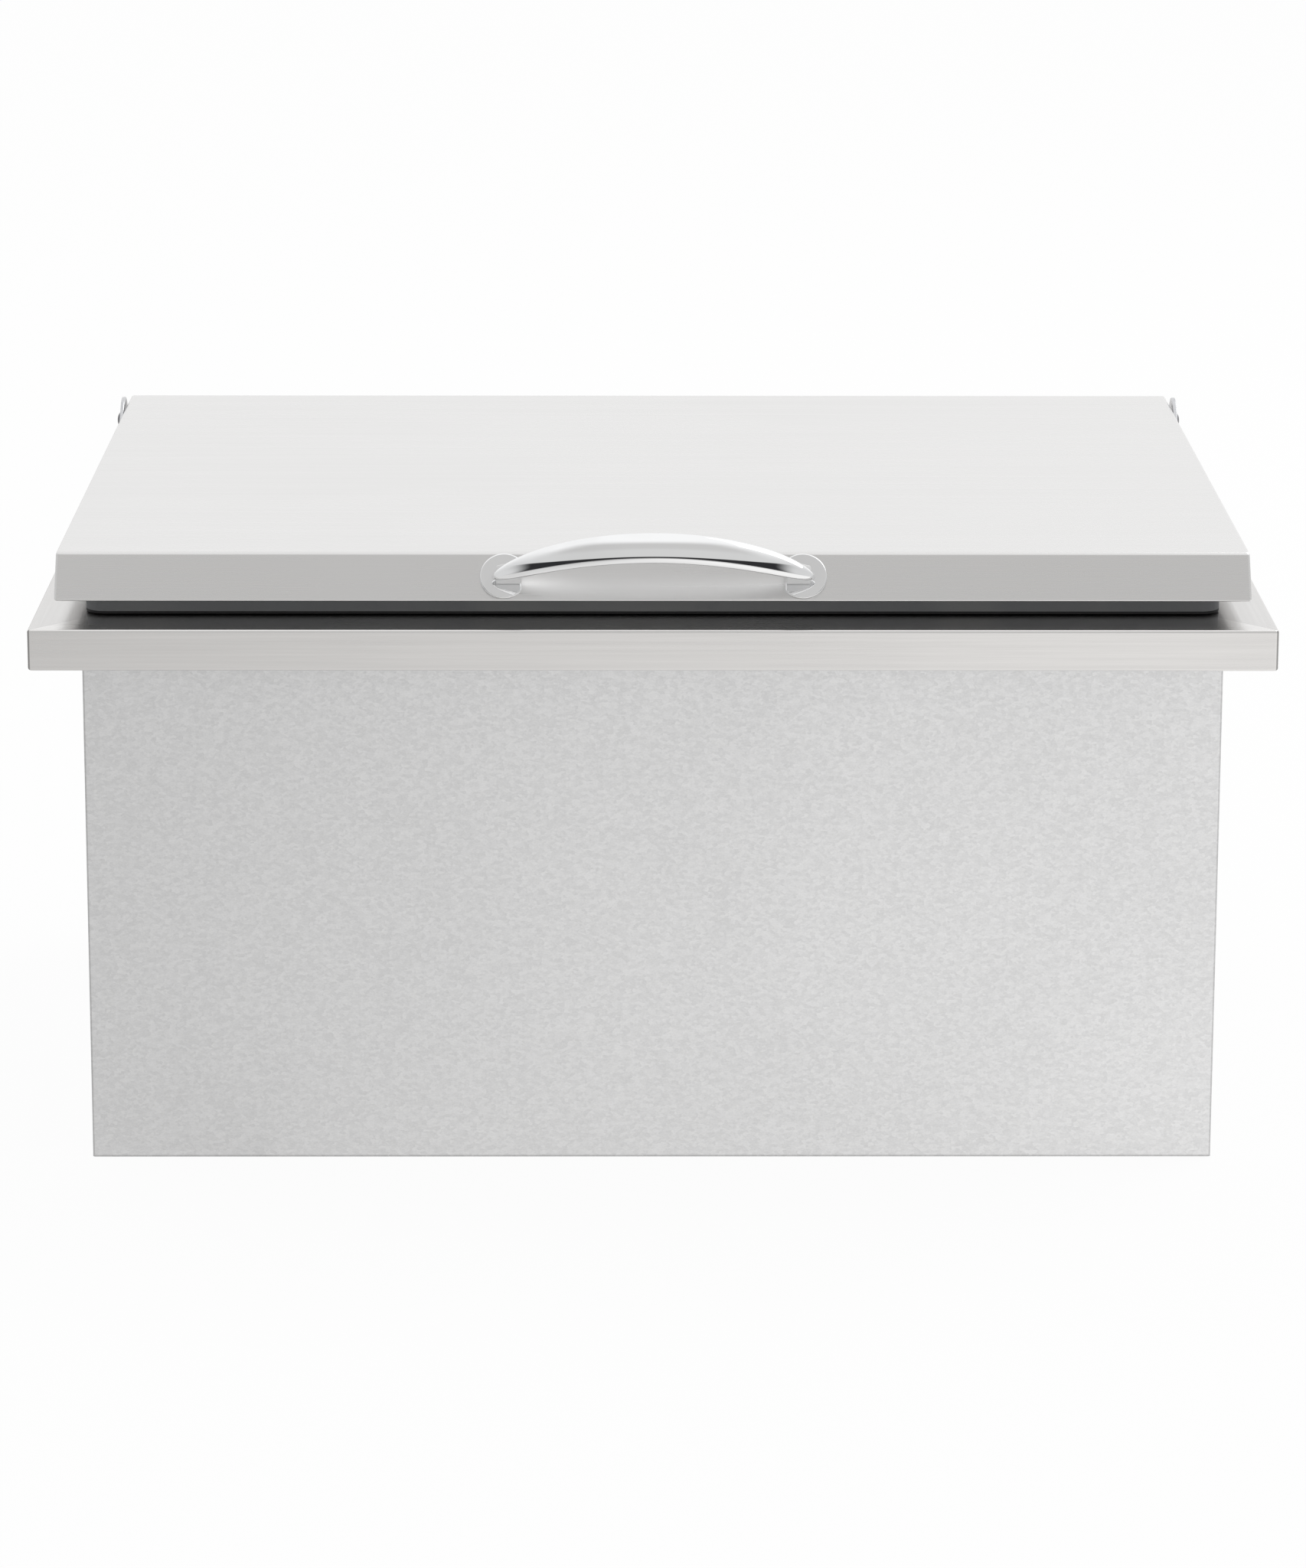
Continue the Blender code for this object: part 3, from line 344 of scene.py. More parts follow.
# %% Places on the sheet
SIDEWAYS = 0.7
MITRE_HALF, MITRE_FADE, MITRE_TONE = 0.0002, 0.0005, 0.82
# Painted shade: a thin dark line down the lip's corners, and a darker tone on the flange's side bars.
LIP_SHADE_WIDTH, LIP_SHADE_TONE, SIDE_BAR_SHADE = 0.0015, 0.45, 0.85


def turned_vector(tree, place, mask):
    """Object coordinates, with X and Y changed over where the mask is 1."""
    x, y, z = parts_of(tree, place)
    swapped = add(tree, "ShaderNodeCombineXYZ", X=y, Y=x, Z=z)
    return mixed(tree, mask, place, swapped.outputs[0], "VECTOR")


def side_mask(tree, place):
    """1 on faces that look to the left or right."""
    normal = add(tree, "ShaderNodeTexCoord").outputs["Normal"]
    return maths(tree, "GREATER_THAN", maths(tree, "ABSOLUTE", parts_of(tree, normal)["X"]), SIDEWAYS)


def past_mitre(tree, place):
    """How far a point lies past the flange's diagonal seams, towards the left or right bar."""
    parts = parts_of(tree, place)
    x = maths(tree, "SUBTRACT", maths(tree, "ABSOLUTE", parts["X"]), FLANGE_X)
    y = maths(tree, "SUBTRACT", maths(tree, "ABSOLUTE", parts["Y"]), FLANGE_Y)
    return maths(tree, "SUBTRACT", x, y)


def side_bar(tree, place):
    """1 on the flange's left and right bars."""
    return maths(tree, "GREATER_THAN", past_mitre(tree, place), 0.0)


def flange_seam_and_shade_tones(tree, place):
    """1 on the flange's clean steel, lower where it was ground, and lower under painted shade on its side bars and
    down the lip's corners.
    """
    off_seam = maths(tree, "ABSOLUTE", past_mitre(tree, place))
    mitre = mapped(tree, off_seam, MITRE_HALF, MITRE_FADE, MITRE_TONE, 1.0)
    # Painted shade down the upright corners of the lip.
    corner_shade = placed(tree, corner_line, Vector=place, Half_X=FLANGE_X, Half_Y=FLANGE_Y, Width=LIP_SHADE_WIDTH)
    corner = masked(tree, corner_shade["Mask"], 1.0, LIP_SHADE_TONE)
    # Painted shade: the side bars are darker than the front and rear bars.
    side_bar_shade = masked(tree, side_bar(tree, place), 1.0, SIDE_BAR_SHADE)
    return maths(tree, "MULTIPLY", maths(tree, "MULTIPLY", mitre, corner), side_bar_shade)


# %% Brushed stainless, in four pieces of stock
STEEL_MARKS, DRAIN_BRUSH = 0.22, 0.0003


def brushed_stainless(
    name, light, dark, roughness, spread, turned_where=side_mask, tones=None, width=BRUSH_WIDTH
):
    """Brushed steel between two tones, rougher where handled, with tones of its own if need be."""
    look, tree, place = new_material(name, 1.0)
    vector = turned_vector(tree, place, turned_where(tree, place))
    lines = placed(tree, brushed_lines, Vector=vector, Width=width)
    marks = placed(tree, handling_marks, Vector=place, Size=STEEL_MARKS)
    tone = mixed(tree, lines["Lines"], dark, light)
    if tones:
        tone = scaled(tree, tone, tones(tree, place))
    grain = masked(tree, lines["Lines"], roughness + spread, roughness - spread)
    grain = maths(tree, "MULTIPLY_ADD", marks["Mask"], spread, grain)
    return surfaced(look, tone, lines["Normal"], grain)


lid_steel = brushed_stainless(
    "lid_stainless", light=(0.785, 0.78, 0.775), dark=(0.762, 0.757, 0.752), roughness=0.28, spread=0.03
)
flange_steel = brushed_stainless(
    "flange_stainless",
    light=(0.82, 0.81, 0.80),
    dark=(0.78, 0.77, 0.76),
    roughness=0.24,
    spread=0.03,
    turned_where=side_bar,
    tones=flange_seam_and_shade_tones,
)
tub_steel = brushed_stainless(
    "tub_stainless", light=(0.78, 0.78, 0.78), dark=(0.70, 0.70, 0.70), roughness=0.34, spread=0.04
)
drain_steel = brushed_stainless(
    "drain_stainless",
    light=(0.76, 0.76, 0.75),
    dark=(0.66, 0.66, 0.65),
    roughness=0.26,
    spread=0.04,
    width=DRAIN_BRUSH,
)

# %% Galvanised sheet
ZINC_DARK, ZINC_LIGHT = (0.765, 0.769, 0.775), (0.90, 0.904, 0.91)
ZINC_SIZE, ZINC_DEPTH, ZINC_DRAWN, ZINC_MARKS = 0.0017, 0.12, 0.7, 0.3
ZINC_ROUGH, ZINC_BRIGHT, ZINC_DULLED = 0.40, 0.32, 0.04
# Painted shade: a thin dark line down the jacket's upright corners, and a painted shadow along its bottom edge
# where it stands on the floor.
FOLD_SHADE_WIDTH, FOLD_SHADE_TONE, FLOOR_SHADOW_HEIGHT, FLOOR_SHADOW_FADE = 0.0012, 0.72, 0.0008, 0.0014


def make_galvanised():
    """Hot-dipped steel: mottled zinc crystals drawn out a little from left to right, with painted shade down its
    upright corners and a painted shadow along its bottom edge.
    """
    look, tree, place = new_material("galvanised_zinc", 1.0)
    x, y, z = parts_of(tree, place)
    drawn_out = add(tree, "ShaderNodeCombineXYZ", X=maths(tree, "MULTIPLY", x, ZINC_DRAWN), Y=y, Z=z)
    crystals = placed(tree, zinc_crystals, Vector=drawn_out.outputs[0], Size=ZINC_SIZE, Depth=ZINC_DEPTH)
    marks = placed(tree, handling_marks, Vector=place, Size=ZINC_MARKS)
    tone = mixed(tree, crystals["Tone"], ZINC_DARK, ZINC_LIGHT)
    # Painted shade down the corners and painted shadow along the bottom edge, both darkening the zinc.
    corner_shade = placed(tree, corner_line, Vector=place, Half_X=JACKET_X, Half_Y=JACKET_Y, Width=FOLD_SHADE_WIDTH)
    floor_shadow = faded(tree, z, FLOOR_SHADOW_HEIGHT, FLOOR_SHADOW_FADE, 1.0, 0.0)
    corner_and_floor_shade = maths(tree, "MAXIMUM", corner_shade["Mask"], floor_shadow)
    tone = scaled(tree, tone, masked(tree, corner_and_floor_shade, 1.0, FOLD_SHADE_TONE))
    grain = masked(tree, crystals["Tone"], ZINC_ROUGH, ZINC_BRIGHT)
    grain = maths(tree, "MULTIPLY_ADD", marks["Mask"], ZINC_DULLED, grain)
    return surfaced(look, tone, crystals["Normal"], grain)


galvanised = make_galvanised()

# %% Chrome and zinc-plated hardware
CHROME_CLEAN, CHROME_WIPED, CHROME_MARKS = (0.93, 0.935, 0.94), (0.89, 0.895, 0.90), 0.03
PLATED_SIZE, PLATED_DEPTH, PLATED_ROUGH, PLATED_BRIGHT = 0.0009, 0.08, 0.30, 0.18


def make_chrome():
    """Mirror chrome, quite sharp, with the faintest wipe marks in its tone."""
    look, tree, place = new_material("bow_chrome", 1.0, 0.0)
    marks = placed(tree, handling_marks, Vector=place, Size=CHROME_MARKS)
    return surfaced(look, mixed(tree, marks["Mask"], CHROME_CLEAN, CHROME_WIPED))


def make_plated(name, dark, light):
    """Zinc plating on pressed and turned steel, between two tones."""
    look, tree, place = new_material(name, 1.0)
    crystals = placed(tree, zinc_crystals, Vector=place, Size=PLATED_SIZE, Depth=PLATED_DEPTH)
    tone = mixed(tree, crystals["Tone"], dark, light)
    grain = masked(tree, crystals["Tone"], PLATED_ROUGH, PLATED_BRIGHT)
    return surfaced(look, tone, crystals["Normal"], grain)


chrome = make_chrome()
plated = make_plated("plated_steel", dark=(0.56, 0.57, 0.59), light=(0.68, 0.68, 0.69))
dark_plated = make_plated("dark_plated_steel", dark=(0.17, 0.17, 0.18), light=(0.26, 0.26, 0.27))

# %% Rubber
SKIN_SCALE, SKIN_DETAIL, SKIN_DEPTH, SKIN_RELIEF = 1400.0, 3.0, 0.2, 0.0001
SKIN_GLOSS, SKIN_ROUGH = 0.55, 0.70
# Painted shadow: the seal's foot is painted black where it closes on the flange.
SEAL_LIP, FOOT_SHADOW_EDGE, FOOT_SHADOW_BLACK = 0.0018, 0.0003, (0.012, 0.012, 0.013)
gasket_low, gasket_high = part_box("lid_gasket")


def make_rubber(name, dust_size, clean, dusty, shadow_top=None):
    """A fine matt moulded skin between two tones. A seal gets a painted black shadow on its foot, below the height
    it is given.
    """
    look, tree, place = new_material(name, 0.0)
    skin = noise(tree, place, SKIN_SCALE, Detail=SKIN_DETAIL)["Fac"]
    dust = placed(tree, handling_marks, Vector=place, Size=dust_size)
    tone = mixed(tree, dust["Mask"], clean, dusty)
    if shadow_top:
        # Painted shadow: black below the given height, on the seal's foot.
        above_shadow = mapped(tree, parts_of(tree, place)["Z"], shadow_top, shadow_top + FOOT_SHADOW_EDGE)
        tone = mixed(tree, above_shadow, FOOT_SHADOW_BLACK, tone)
    grain = mapped(tree, skin, NOISE_LOW, NOISE_HIGH, SKIN_GLOSS, SKIN_ROUGH)
    return surfaced(look, tone, bumped(tree, skin, SKIN_DEPTH, SKIN_RELIEF), grain)


rubber = make_rubber(
    "moulded_rubber", dust_size=0.05, clean=(0.022, 0.022, 0.023), dusty=(0.045, 0.044, 0.042)
)
# The seal's foot carries a painted black shadow where the lid closes on the flange.
seal = make_rubber(
    "seal_rubber",
    dust_size=0.08,
    clean=(0.20, 0.204, 0.212),
    dusty=(0.233, 0.235, 0.238),
    shadow_top=gasket_low.z + SEAL_LIP,
)

# %% Foam
CELL_SCALE, CELL_DEPTH, CELL_RELIEF, PIT_LOW, PIT_HIGH = 900.0, 0.4, 0.0003, 0.1, 0.6
FOAM_SKIN, FOAM_PIT, FOAM_ROUGHNESS = (0.88, 0.85, 0.74), (0.74, 0.69, 0.55), 0.9


def make_foam():
    """Poured foam: pale, with open cells and darker pits."""
    look, tree, place = new_material("cream_foam", 0.0, FOAM_ROUGHNESS)
    cells = add(tree, "ShaderNodeTexVoronoi", Vector=place, Scale=CELL_SCALE).outputs["Distance"]
    tone = mixed(tree, faded(tree, cells, PIT_LOW, PIT_HIGH), FOAM_SKIN, FOAM_PIT)
    return surfaced(look, tone, bumped(tree, cells, CELL_DEPTH, CELL_RELIEF))


foam = make_foam()
print("finishes:", ", ".join(look.name for look in bpy.data.materials if look.node_tree))

# %% [markdown]
# ## Dressing the solids
#
# Each solid gets its finish by its place in the bin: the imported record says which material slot
# every node has, and one table turns slots into finishes. The pieces made later bring their own.

# %% Finishes for the nodes
FINISH_OF_SLOT = {
    "brushed_stainless": tub_steel,
    "galvanised_sheet": galvanised,
    "polished_chrome": chrome,
    "bright_fastener": plated,
    "white_foam": foam,
    "black_rubber": rubber,
}
slot_of_node = {part["node"]: part["material_slot"] for part in frame["record"]["subparts"]}
for name, item in frame["nodes"].items():
    item.data.materials.clear()
    item.data.materials.append(FINISH_OF_SLOT[slot_of_node[name]])
print("dressed", len(frame["nodes"]), "nodes")

# %% [markdown]
# ## Bent sheet as stacked rings
#
# A folded sheet seen in section is a strip that follows a path with a small radius at each fold.
# Sent round a rectangle, each point of the strip becomes a ring, and neighbouring rings are joined
# by faces. This keeps every fold round and every wall one sheet thick. Large flat faces beside
# small round ones shade unevenly, so each piece ends with weighted normals, which let the flats
# stay flat.

# %% Rings and strips
CORNER_STEPS, BEND_STEPS = 9, 7


def ring(half_x, front, back, radius, z):
    """Points round a rectangle with rounded corners, level at z."""
    radius = max(radius, 0)
    x = half_x - radius
    centres = ((x, back - radius), (-x, back - radius), (-x, front + radius), (x, front + radius))
    points = []
    for quarter, (cx, cy) in enumerate(centres):
        for step in range(CORNER_STEPS + 1):
            angle = math.pi / 2 * (quarter + step / CORNER_STEPS)
            points.append((cx + radius * math.cos(angle), cy + radius * math.sin(angle), z))
    return points


def strip(path, bends, thickness):
    """The outline of a bent sheet whose middle follows a path, with a radius for each bend."""
    corners = [Vector(point) for point in path]
    first = (corners[1] - corners[0]).normalized()
    middle = [(corners[0], Vector((-first.y, first.x)))]
    for before, corner, after, radius in zip(corners, corners[1:], corners[2:], bends):
        ahead = (corner - before).normalized()
        onward = (after - corner).normalized()
        turn = math.atan2(ahead.x * onward.y - ahead.y * onward.x, ahead.dot(onward))
        side = math.copysign(1, turn)
        normal = Vector((-ahead.y, ahead.x))
        centre = corner - ahead * radius * math.tan(abs(turn) / 2) + normal * side * radius
        for step in range(BEND_STEPS + 1):
            turned_normal = Matrix.Rotation(turn * step / BEND_STEPS, 2) @ normal
            middle.append((centre - turned_normal * side * radius, turned_normal))
    last = (corners[-1] - corners[-2]).normalized()
    middle.append((corners[-1], Vector((-last.y, last.x))))
    left = [point + normal * thickness / 2 for point, normal in middle]
    return left + [point - normal * thickness / 2 for point, normal in reversed(middle)]


# %% From rings to a closed shape
MERGE, TURNED_SIDES, PIN_SIDES = 0.000002, 64, 48


def outwards(shape):
    """Merges doubled points and turns the faces outwards."""
    bmesh.ops.remove_doubles(shape, verts=shape.verts, dist=MERGE)
    bmesh.ops.recalc_face_normals(shape, faces=shape.faces)
    if shape.calc_volume(signed=True) < 0:
        bmesh.ops.reverse_faces(shape, faces=shape.faces)
    return shape


def shell(rings, closed=False):
    """A closed mesh through rings, capped at both ends or joined round."""
    shape = bmesh.new()
    rows = [[shape.verts.new(point) for point in points] for points in rings]
    pairs = list(zip(rows, rows[1:])) + ([(rows[-1], rows[0])] if closed else [])
    for low, high in pairs:
        for side in range(len(low)):
            after = (side + 1) % len(low)
            shape.faces.new((low[side], low[after], high[after], high[side]))
    if not closed:
        shape.faces.new(rows[0])
        shape.faces.new(rows[-1])
    return outwards(shape)


def cup(rings):
    """A closed mesh of a thin shell, whose rings run in over one face and back over the other."""
    half = len(rings) // 2
    return shell(rings[:half][::-1] + rings[half:][::-1])


def turned(outline, place, direction=(0, 0, 1), closed=False, sides=TURNED_SIDES):
    """Turns an outline of (radius, height) points about an axis through a place."""
    turn = Vector(direction).to_track_quat("Z", "Y").to_matrix().to_4x4()
    matrix = Matrix.Translation(place) @ turn
    angles = [math.tau * side / sides for side in range(sides)]
    rings = []
    for radius, height in outline:
        rings.append([matrix @ Vector((radius * math.cos(a), radius * math.sin(a), height)) for a in angles])
    return shell(rings, closed)


def pin(radius, start, length, direction=(0, 0, 1), sides=PIN_SIDES):
    """A straight round pin, or with six sides a hexagon."""
    return turned(((radius, 0), (radius, length)), start, direction, sides=sides)


# %% From a shape to a finished piece
SHARP_ANGLE, FINE_ANGLE, FLAT_WEIGHT = 35, 30, 100


def stand(name, shape, look=None):
    """Makes an object of a shape given in the frame's places."""
    mesh = bpy.data.meshes.new(name)
    shape.to_mesh(mesh)
    shape.free()
    item = bpy.data.objects.new(name, mesh)
    bpy.context.scene.collection.objects.link(item)
    if look:
        mesh.materials.append(look)
    return item


def settle(item):
    """Turns an object with modifiers into a plain mesh."""
    graph = bpy.context.evaluated_depsgraph_get()
    final = item.evaluated_get(graph)
    plain = bpy.data.meshes.new_from_object(final, preserve_all_data_layers=True, depsgraph=graph)
    item.modifiers.clear()
    item.data = plain
    plain.name = item.name
    return item


def smooth(item, bevel=0.0, angle=SHARP_ANGLE, segments=2):
    """Smooth shading with sharp folds kept, an optional small bevel and weighted normals."""
    item.data.shade_smooth()
    item.data.set_sharp_from_angle(angle=math.radians(angle))
    if bevel:
        edge = item.modifiers.new("small_bevel", "BEVEL")
        edge.width = bevel
        edge.segments = segments
        edge.limit_method = "ANGLE"
        edge.angle_limit = math.radians(angle)
    weights = item.modifiers.new("flat_faces_stay_flat", "WEIGHTED_NORMAL")
    weights.weight = FLAT_WEIGHT
    weights.keep_sharp = True
    return settle(item)


def combine(item, shapes, operation="DIFFERENCE"):
    """Takes shapes out of a piece, or joins them to it."""
    tools = [stand("tool", shape) for shape in shapes]
    for tool in tools:
        modifier = item.modifiers.new("combine", "BOOLEAN")
        modifier.operation = operation
        modifier.solver = "EXACT"
        modifier.object = tool
    settle(item)
    for tool in tools:
        bpy.data.objects.remove(tool)
    return item


def fit(item, body, *nodes):
    """Puts a finished piece on its body, in place of CAD nodes."""
    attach(item, body)
    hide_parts(*nodes)
    print(item.name, "has", len(item.data.polygons), "faces")
    return item


# %% [markdown]
# ## The counter flange
#
# Four bars of sheet, mitred at the corners, welded and ground: flat on top, a lip turned down at the
# outside and a short return under it. The lip is what one sees from the front, with a bright line
# along the fold. The opening has the tub's larger corner radius. The hinge brackets are riveted
# through its rear, so the holes are made where those rivets stand.

# %% Counter flange
RIVET_RADIUS, RIVET_HEAD_RADIUS, RIVET_HEAD, RIVET_TAIL_RADIUS = 0.002, 0.0036, 0.0013, 0.003
BRACKET_RIVETS = [f"bracket_rivet_{number}" for number in range(1, 5)]
flange_path = (
    (FLANGE_RETURN, flange_low.z + FLANGE_SHEET / 2),
    (FLANGE_SHEET / 2, flange_low.z + FLANGE_SHEET / 2),
    (FLANGE_SHEET / 2, flange_high.z - FLANGE_SHEET / 2),
    (FLANGE_X - TUB_X, flange_high.z - FLANGE_SHEET / 2),
)
flange_rings = []
for inset, z in strip(flange_path, (FLANGE_BEND, FLANGE_BEND), FLANGE_SHEET):
    if inset > FLANGE_RETURN + FLANGE_BEND:
        flange_rings.append(ring(TUB_X, -TUB_Y, TUB_Y, TUB_CORNER, z))
    else:
        y = FLANGE_Y - inset
        flange_rings.append(ring(FLANGE_X - inset, -y, y, FLANGE_CORNER - inset, z))
flange = stand("flange_sheet", shell(flange_rings, closed=True), flange_steel)
holes = []
for low, high in map(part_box, BRACKET_RIVETS):
    middle = (low + high) / 2
    start = (middle.x, middle.y, flange_high.z - 2 * FLANGE_SHEET)
    holes.append(pin(RIVET_RADIUS + GAP, start, 3 * FLANGE_SHEET))
combine(flange, holes)
fit(smooth(flange), "bin", "counter_flange")

# %% [markdown]
# ## The liner tub
#
# The tub is deep-drawn or welded with coved corners so that a cloth reaches everywhere. A shallow
# dish round the drain leads the melt water away. Its walls go down, round the cove and across the
# floor to the drain hole, so rings carry on as circles of the same count.

# %% Liner tub
DISH_DEPTH, DISH_RADIUS, DISH_INSIDE, DRAIN_HOLE = 0.0025, 0.042, 0.036, 0.0183
spud_low, spud_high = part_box("drain_spud")
DRAIN = (spud_low + spud_high) / 2
DISH_FLOOR = tub_low.z + TUB_SHEET
TUB_FLOOR = DISH_FLOOR + DISH_DEPTH


def disc(radius, z):
    """The circle that a rounded rectangle becomes when its sides have no length."""
    return [(x + DRAIN.x, y + DRAIN.y, z) for x, y, z in ring(radius, -radius, radius, radius, z)]


tub_path = (
    (-TUB_SHEET - TUB_RIM, tub_high.z - TUB_SHEET / 2),
    (-TUB_SHEET / 2, tub_high.z - TUB_SHEET / 2),
    (-TUB_SHEET / 2, TUB_FLOOR - TUB_SHEET / 2),
    (TUB_COVE + TUB_SHEET / 2, TUB_FLOOR - TUB_SHEET / 2),
)
tub_strip = strip(tub_path, (TUB_RIM_BEND, TUB_COVE), TUB_SHEET)
tub_rings = [ring(TUB_X - i, i - TUB_Y, TUB_Y - i, TUB_CORNER - i, z) for i, z in tub_strip]
inside = [disc(DISH_RADIUS, TUB_FLOOR), disc(DISH_INSIDE, DISH_FLOOR), disc(DRAIN_HOLE, DISH_FLOOR)]
under = [
    disc(DRAIN_HOLE, DISH_FLOOR - TUB_SHEET),
    disc(DISH_INSIDE, DISH_FLOOR - TUB_SHEET),
    disc(DISH_RADIUS, TUB_FLOOR - TUB_SHEET),
]
half = len(tub_rings) // 2
tub_rings = tub_rings[:half] + inside + under + tub_rings[half:]
tub = stand("tub_sheet", shell(tub_rings, closed=True), tub_steel)
fit(smooth(tub), "bin", "liner_tub")

# %% [markdown]
# ## The lid
#
# One sheet again: a flat top, short skirts at the sides, and a front face that leans out as it
# comes down, so that the hand finds the handle. Its rings are the same as the tub's, except that
# the front edge of each ring moves forward on its way down. The rear of the skirts is cut away to
# let the lid swing past the flange, and the face and skirts are pierced for the handle's screws and
# the pivot bolts. A plain pan closes the lid from below.

# %% Places on the leaning face
HANDLE_SPACING = 0.1706
LID_FRONT_TOP = LID_LEAN - LID_Y
FACE_CENTRE = Vector((0, (LID_FRONT_TOP - LID_Y) / 2, (LID_TOP + LID_BOTTOM) / 2))
FACE_UP = Vector((0, LID_LEAN, LID_SKIRT)).normalized()
FACE_OUT = Vector((0, -LID_SKIRT, LID_LEAN)).normalized()


def on_face(x, up, out):
    """A place given across, up and out from the middle of the leaning face."""
    return FACE_CENTRE + Vector((x, 0, 0)) + FACE_UP * up + FACE_OUT * out


print("the face leans out by", round(math.degrees(math.atan2(LID_LEAN, LID_SKIRT)), 1), "degrees")

# %% Lid skin
NOTCH_START, NOTCH_RUN, REAR_SKIRT, OVER = 0.004, 0.010, 0.017, 0.004
PIVOT_HOLE, SCREW_HOLE = 0.0033, 0.0028


def lid_ring(inset, z):
    """A ring round the lid, whose front side leans out as it goes down."""
    front = -LID_Y + LID_LEAN * (z - LID_BOTTOM) / LID_SKIRT
    return ring(LID_X - inset, front + inset, LID_Y - inset, LID_CORNER - inset, z)


bend = LID_BEND + LID_SHEET / 2
lid_path = (
    (LID_RETURN, LID_BOTTOM + LID_SHEET / 2),
    (LID_SHEET / 2, LID_BOTTOM + LID_SHEET / 2),
    (LID_SHEET / 2, LID_TOP - LID_SHEET / 2),
    (2 * bend, LID_TOP - LID_SHEET / 2),
)
lid_rings = [lid_ring(inset, z) for inset, z in strip(lid_path, (bend, bend), LID_SHEET)]
lid = stand("lid_sheet", cup(lid_rings), lid_steel)
notch_side = (
    (PIVOT.y + NOTCH_START, LID_BOTTOM - OVER),
    (PIVOT.y + NOTCH_START, LID_BOTTOM),
    (PIVOT.y + NOTCH_START + NOTCH_RUN, LID_TOP - REAR_SKIRT),
    (LID_Y + OVER, LID_TOP - REAR_SKIRT),
    (LID_Y + OVER, LID_BOTTOM - OVER),
)
reach = LID_X + OVER
openings = [shell([[(x, y, z) for y, z in notch_side] for x in (-reach, reach)])]
for side in (-1, 1):
    openings.append(pin(PIVOT_HOLE, (side * reach, PIVOT.y, PIVOT.z), 2 * OVER, (-side, 0, 0)))
    openings.append(pin(SCREW_HOLE, on_face(side * HANDLE_SPACING / 2, 0, OVER), 2 * OVER, -FACE_OUT))
combine(lid, openings)
fit(smooth(lid), "lid", "lid_skin")

# %% Lid pan
PAN_SHEET, PAN_RIM, PAN_BEND, PAN_CORNER = 0.0008, 0.0045, 0.0016, 0.010
PAN_X, PAN_FRONT, PAN_BACK = pan_high.x - PAN_RIM, pan_low.y + PAN_RIM, pan_high.y - PAN_RIM
pan_path = (
    (-PAN_RIM, pan_high.z - PAN_SHEET / 2),
    (PAN_SHEET / 2, pan_high.z - PAN_SHEET / 2),
    (PAN_SHEET / 2, pan_low.z + PAN_SHEET / 2),
    (2 * (PAN_BEND + PAN_SHEET), pan_low.z + PAN_SHEET / 2),
)
pan_strip = strip(pan_path, (PAN_BEND, PAN_BEND), PAN_SHEET)
pan_rings = [ring(PAN_X - i, PAN_FRONT + i, PAN_BACK - i, PAN_CORNER - i, z) for i, z in pan_strip]
fit(smooth(stand("lid_pan_sheet", cup(pan_rings), tub_steel)), "lid", "lid_pan")

# %% [markdown]
# ## Running a Geometry Nodes tree
#
# The handle's bow, the seal, the rivets and the strainer's holes follow rules, so each is a small
# Geometry Nodes tree with its sizes as named inputs. One helper puts a tree on an empty mesh, sets
# the inputs by their identifiers and keeps the result as a plain mesh, because the export reads
# plain meshes only.


# %% Growing a piece from a tree
def grow(name, tree, **sizes):
    """Runs a Geometry Nodes tree with these inputs and keeps a clean plain mesh."""
    item = stand(name, bmesh.new())
    modifier = item.modifiers.new(tree.name, "NODES")
    modifier.node_group = tree
    for socket in tree.interface.items_tree:
        key = socket.name.replace(" ", "_")
        if socket.in_out == "INPUT" and key in sizes:
            modifier[socket.identifier] = sizes[key]
    settle(item)
    shape = bmesh.new()
    shape.from_mesh(item.data)
    outwards(shape).to_mesh(item.data)
    shape.free()
    return item


def new_rule(name, **sizes):
    """An empty tree that puts out geometry in one material, with its sizes as named inputs."""
    return new_group(name, {"Geometry": "Geometry"}, "GeometryNodeTree", **sizes, Material="Material")


def finish_rule(tree, given, made, geometry):
    """Ends a tree: instances become real, and the material is set."""
    real = add(tree, "GeometryNodeRealizeInstances", Geometry=geometry)
    dressed = add(tree, "GeometryNodeSetMaterial", Geometry=real.outputs[0], Material=given["Material"])
    feed(tree, dressed.outputs[0], made["Geometry"])
    return tree


# %% [markdown]
# ## The bow handle
#
# A cast bow bends away from the face in one arc. It is an oval in section, fullest in the middle,
# and drawn down to a chisel at each end. The tree starts from a cylinder of many rows and moves each
# point: its height along the cylinder becomes its place along the arc, and its direction round the
# cylinder becomes its place on the oval. A foot stands under each end, on a round plate that is cut
# straight on its inner side. The legs join the bow, as they do in the casting.

# %% The bow's sizes
HANDLE_TIP, HANDLE_RISE, END_RISE, BASE_THICKNESS = 0.0069, 0.040, 0.0048, 0.0018
BOW_DROP, BOW_LIFT = 0.0028, 0.0020
BOW_WIDTH, BOW_THICKNESS, TIP_WIDTH, TIP_THICKNESS = 0.0179, 0.008, 0.0105, 0.0052
BOW_ROWS, BOW_SIDES, BOW_MERGE = 120, 56, 0.00001
TIP_POWER, TAPER_POWER = 8.0, 2.5
handle_reach = HANDLE_SPACING / 2 + HANDLE_TIP
handle_drop = HANDLE_RISE - BASE_THICKNESS - END_RISE
bow_radius = (handle_reach**2 + handle_drop**2) / (2 * handle_drop)
bow_sizes = {
    "Reach": handle_reach,
    "Rise": HANDLE_RISE,
    "End_Rise": BASE_THICKNESS + END_RISE,
    "Width": BOW_WIDTH,
    "Thickness": BOW_THICKNESS,
    "Tip_Width": TIP_WIDTH,
    "Tip_Thickness": TIP_THICKNESS,
    "Drop": BOW_DROP,
    "Lift": BOW_LIFT,
    "Lean": math.atan2(LID_LEAN, LID_SKIRT),
}
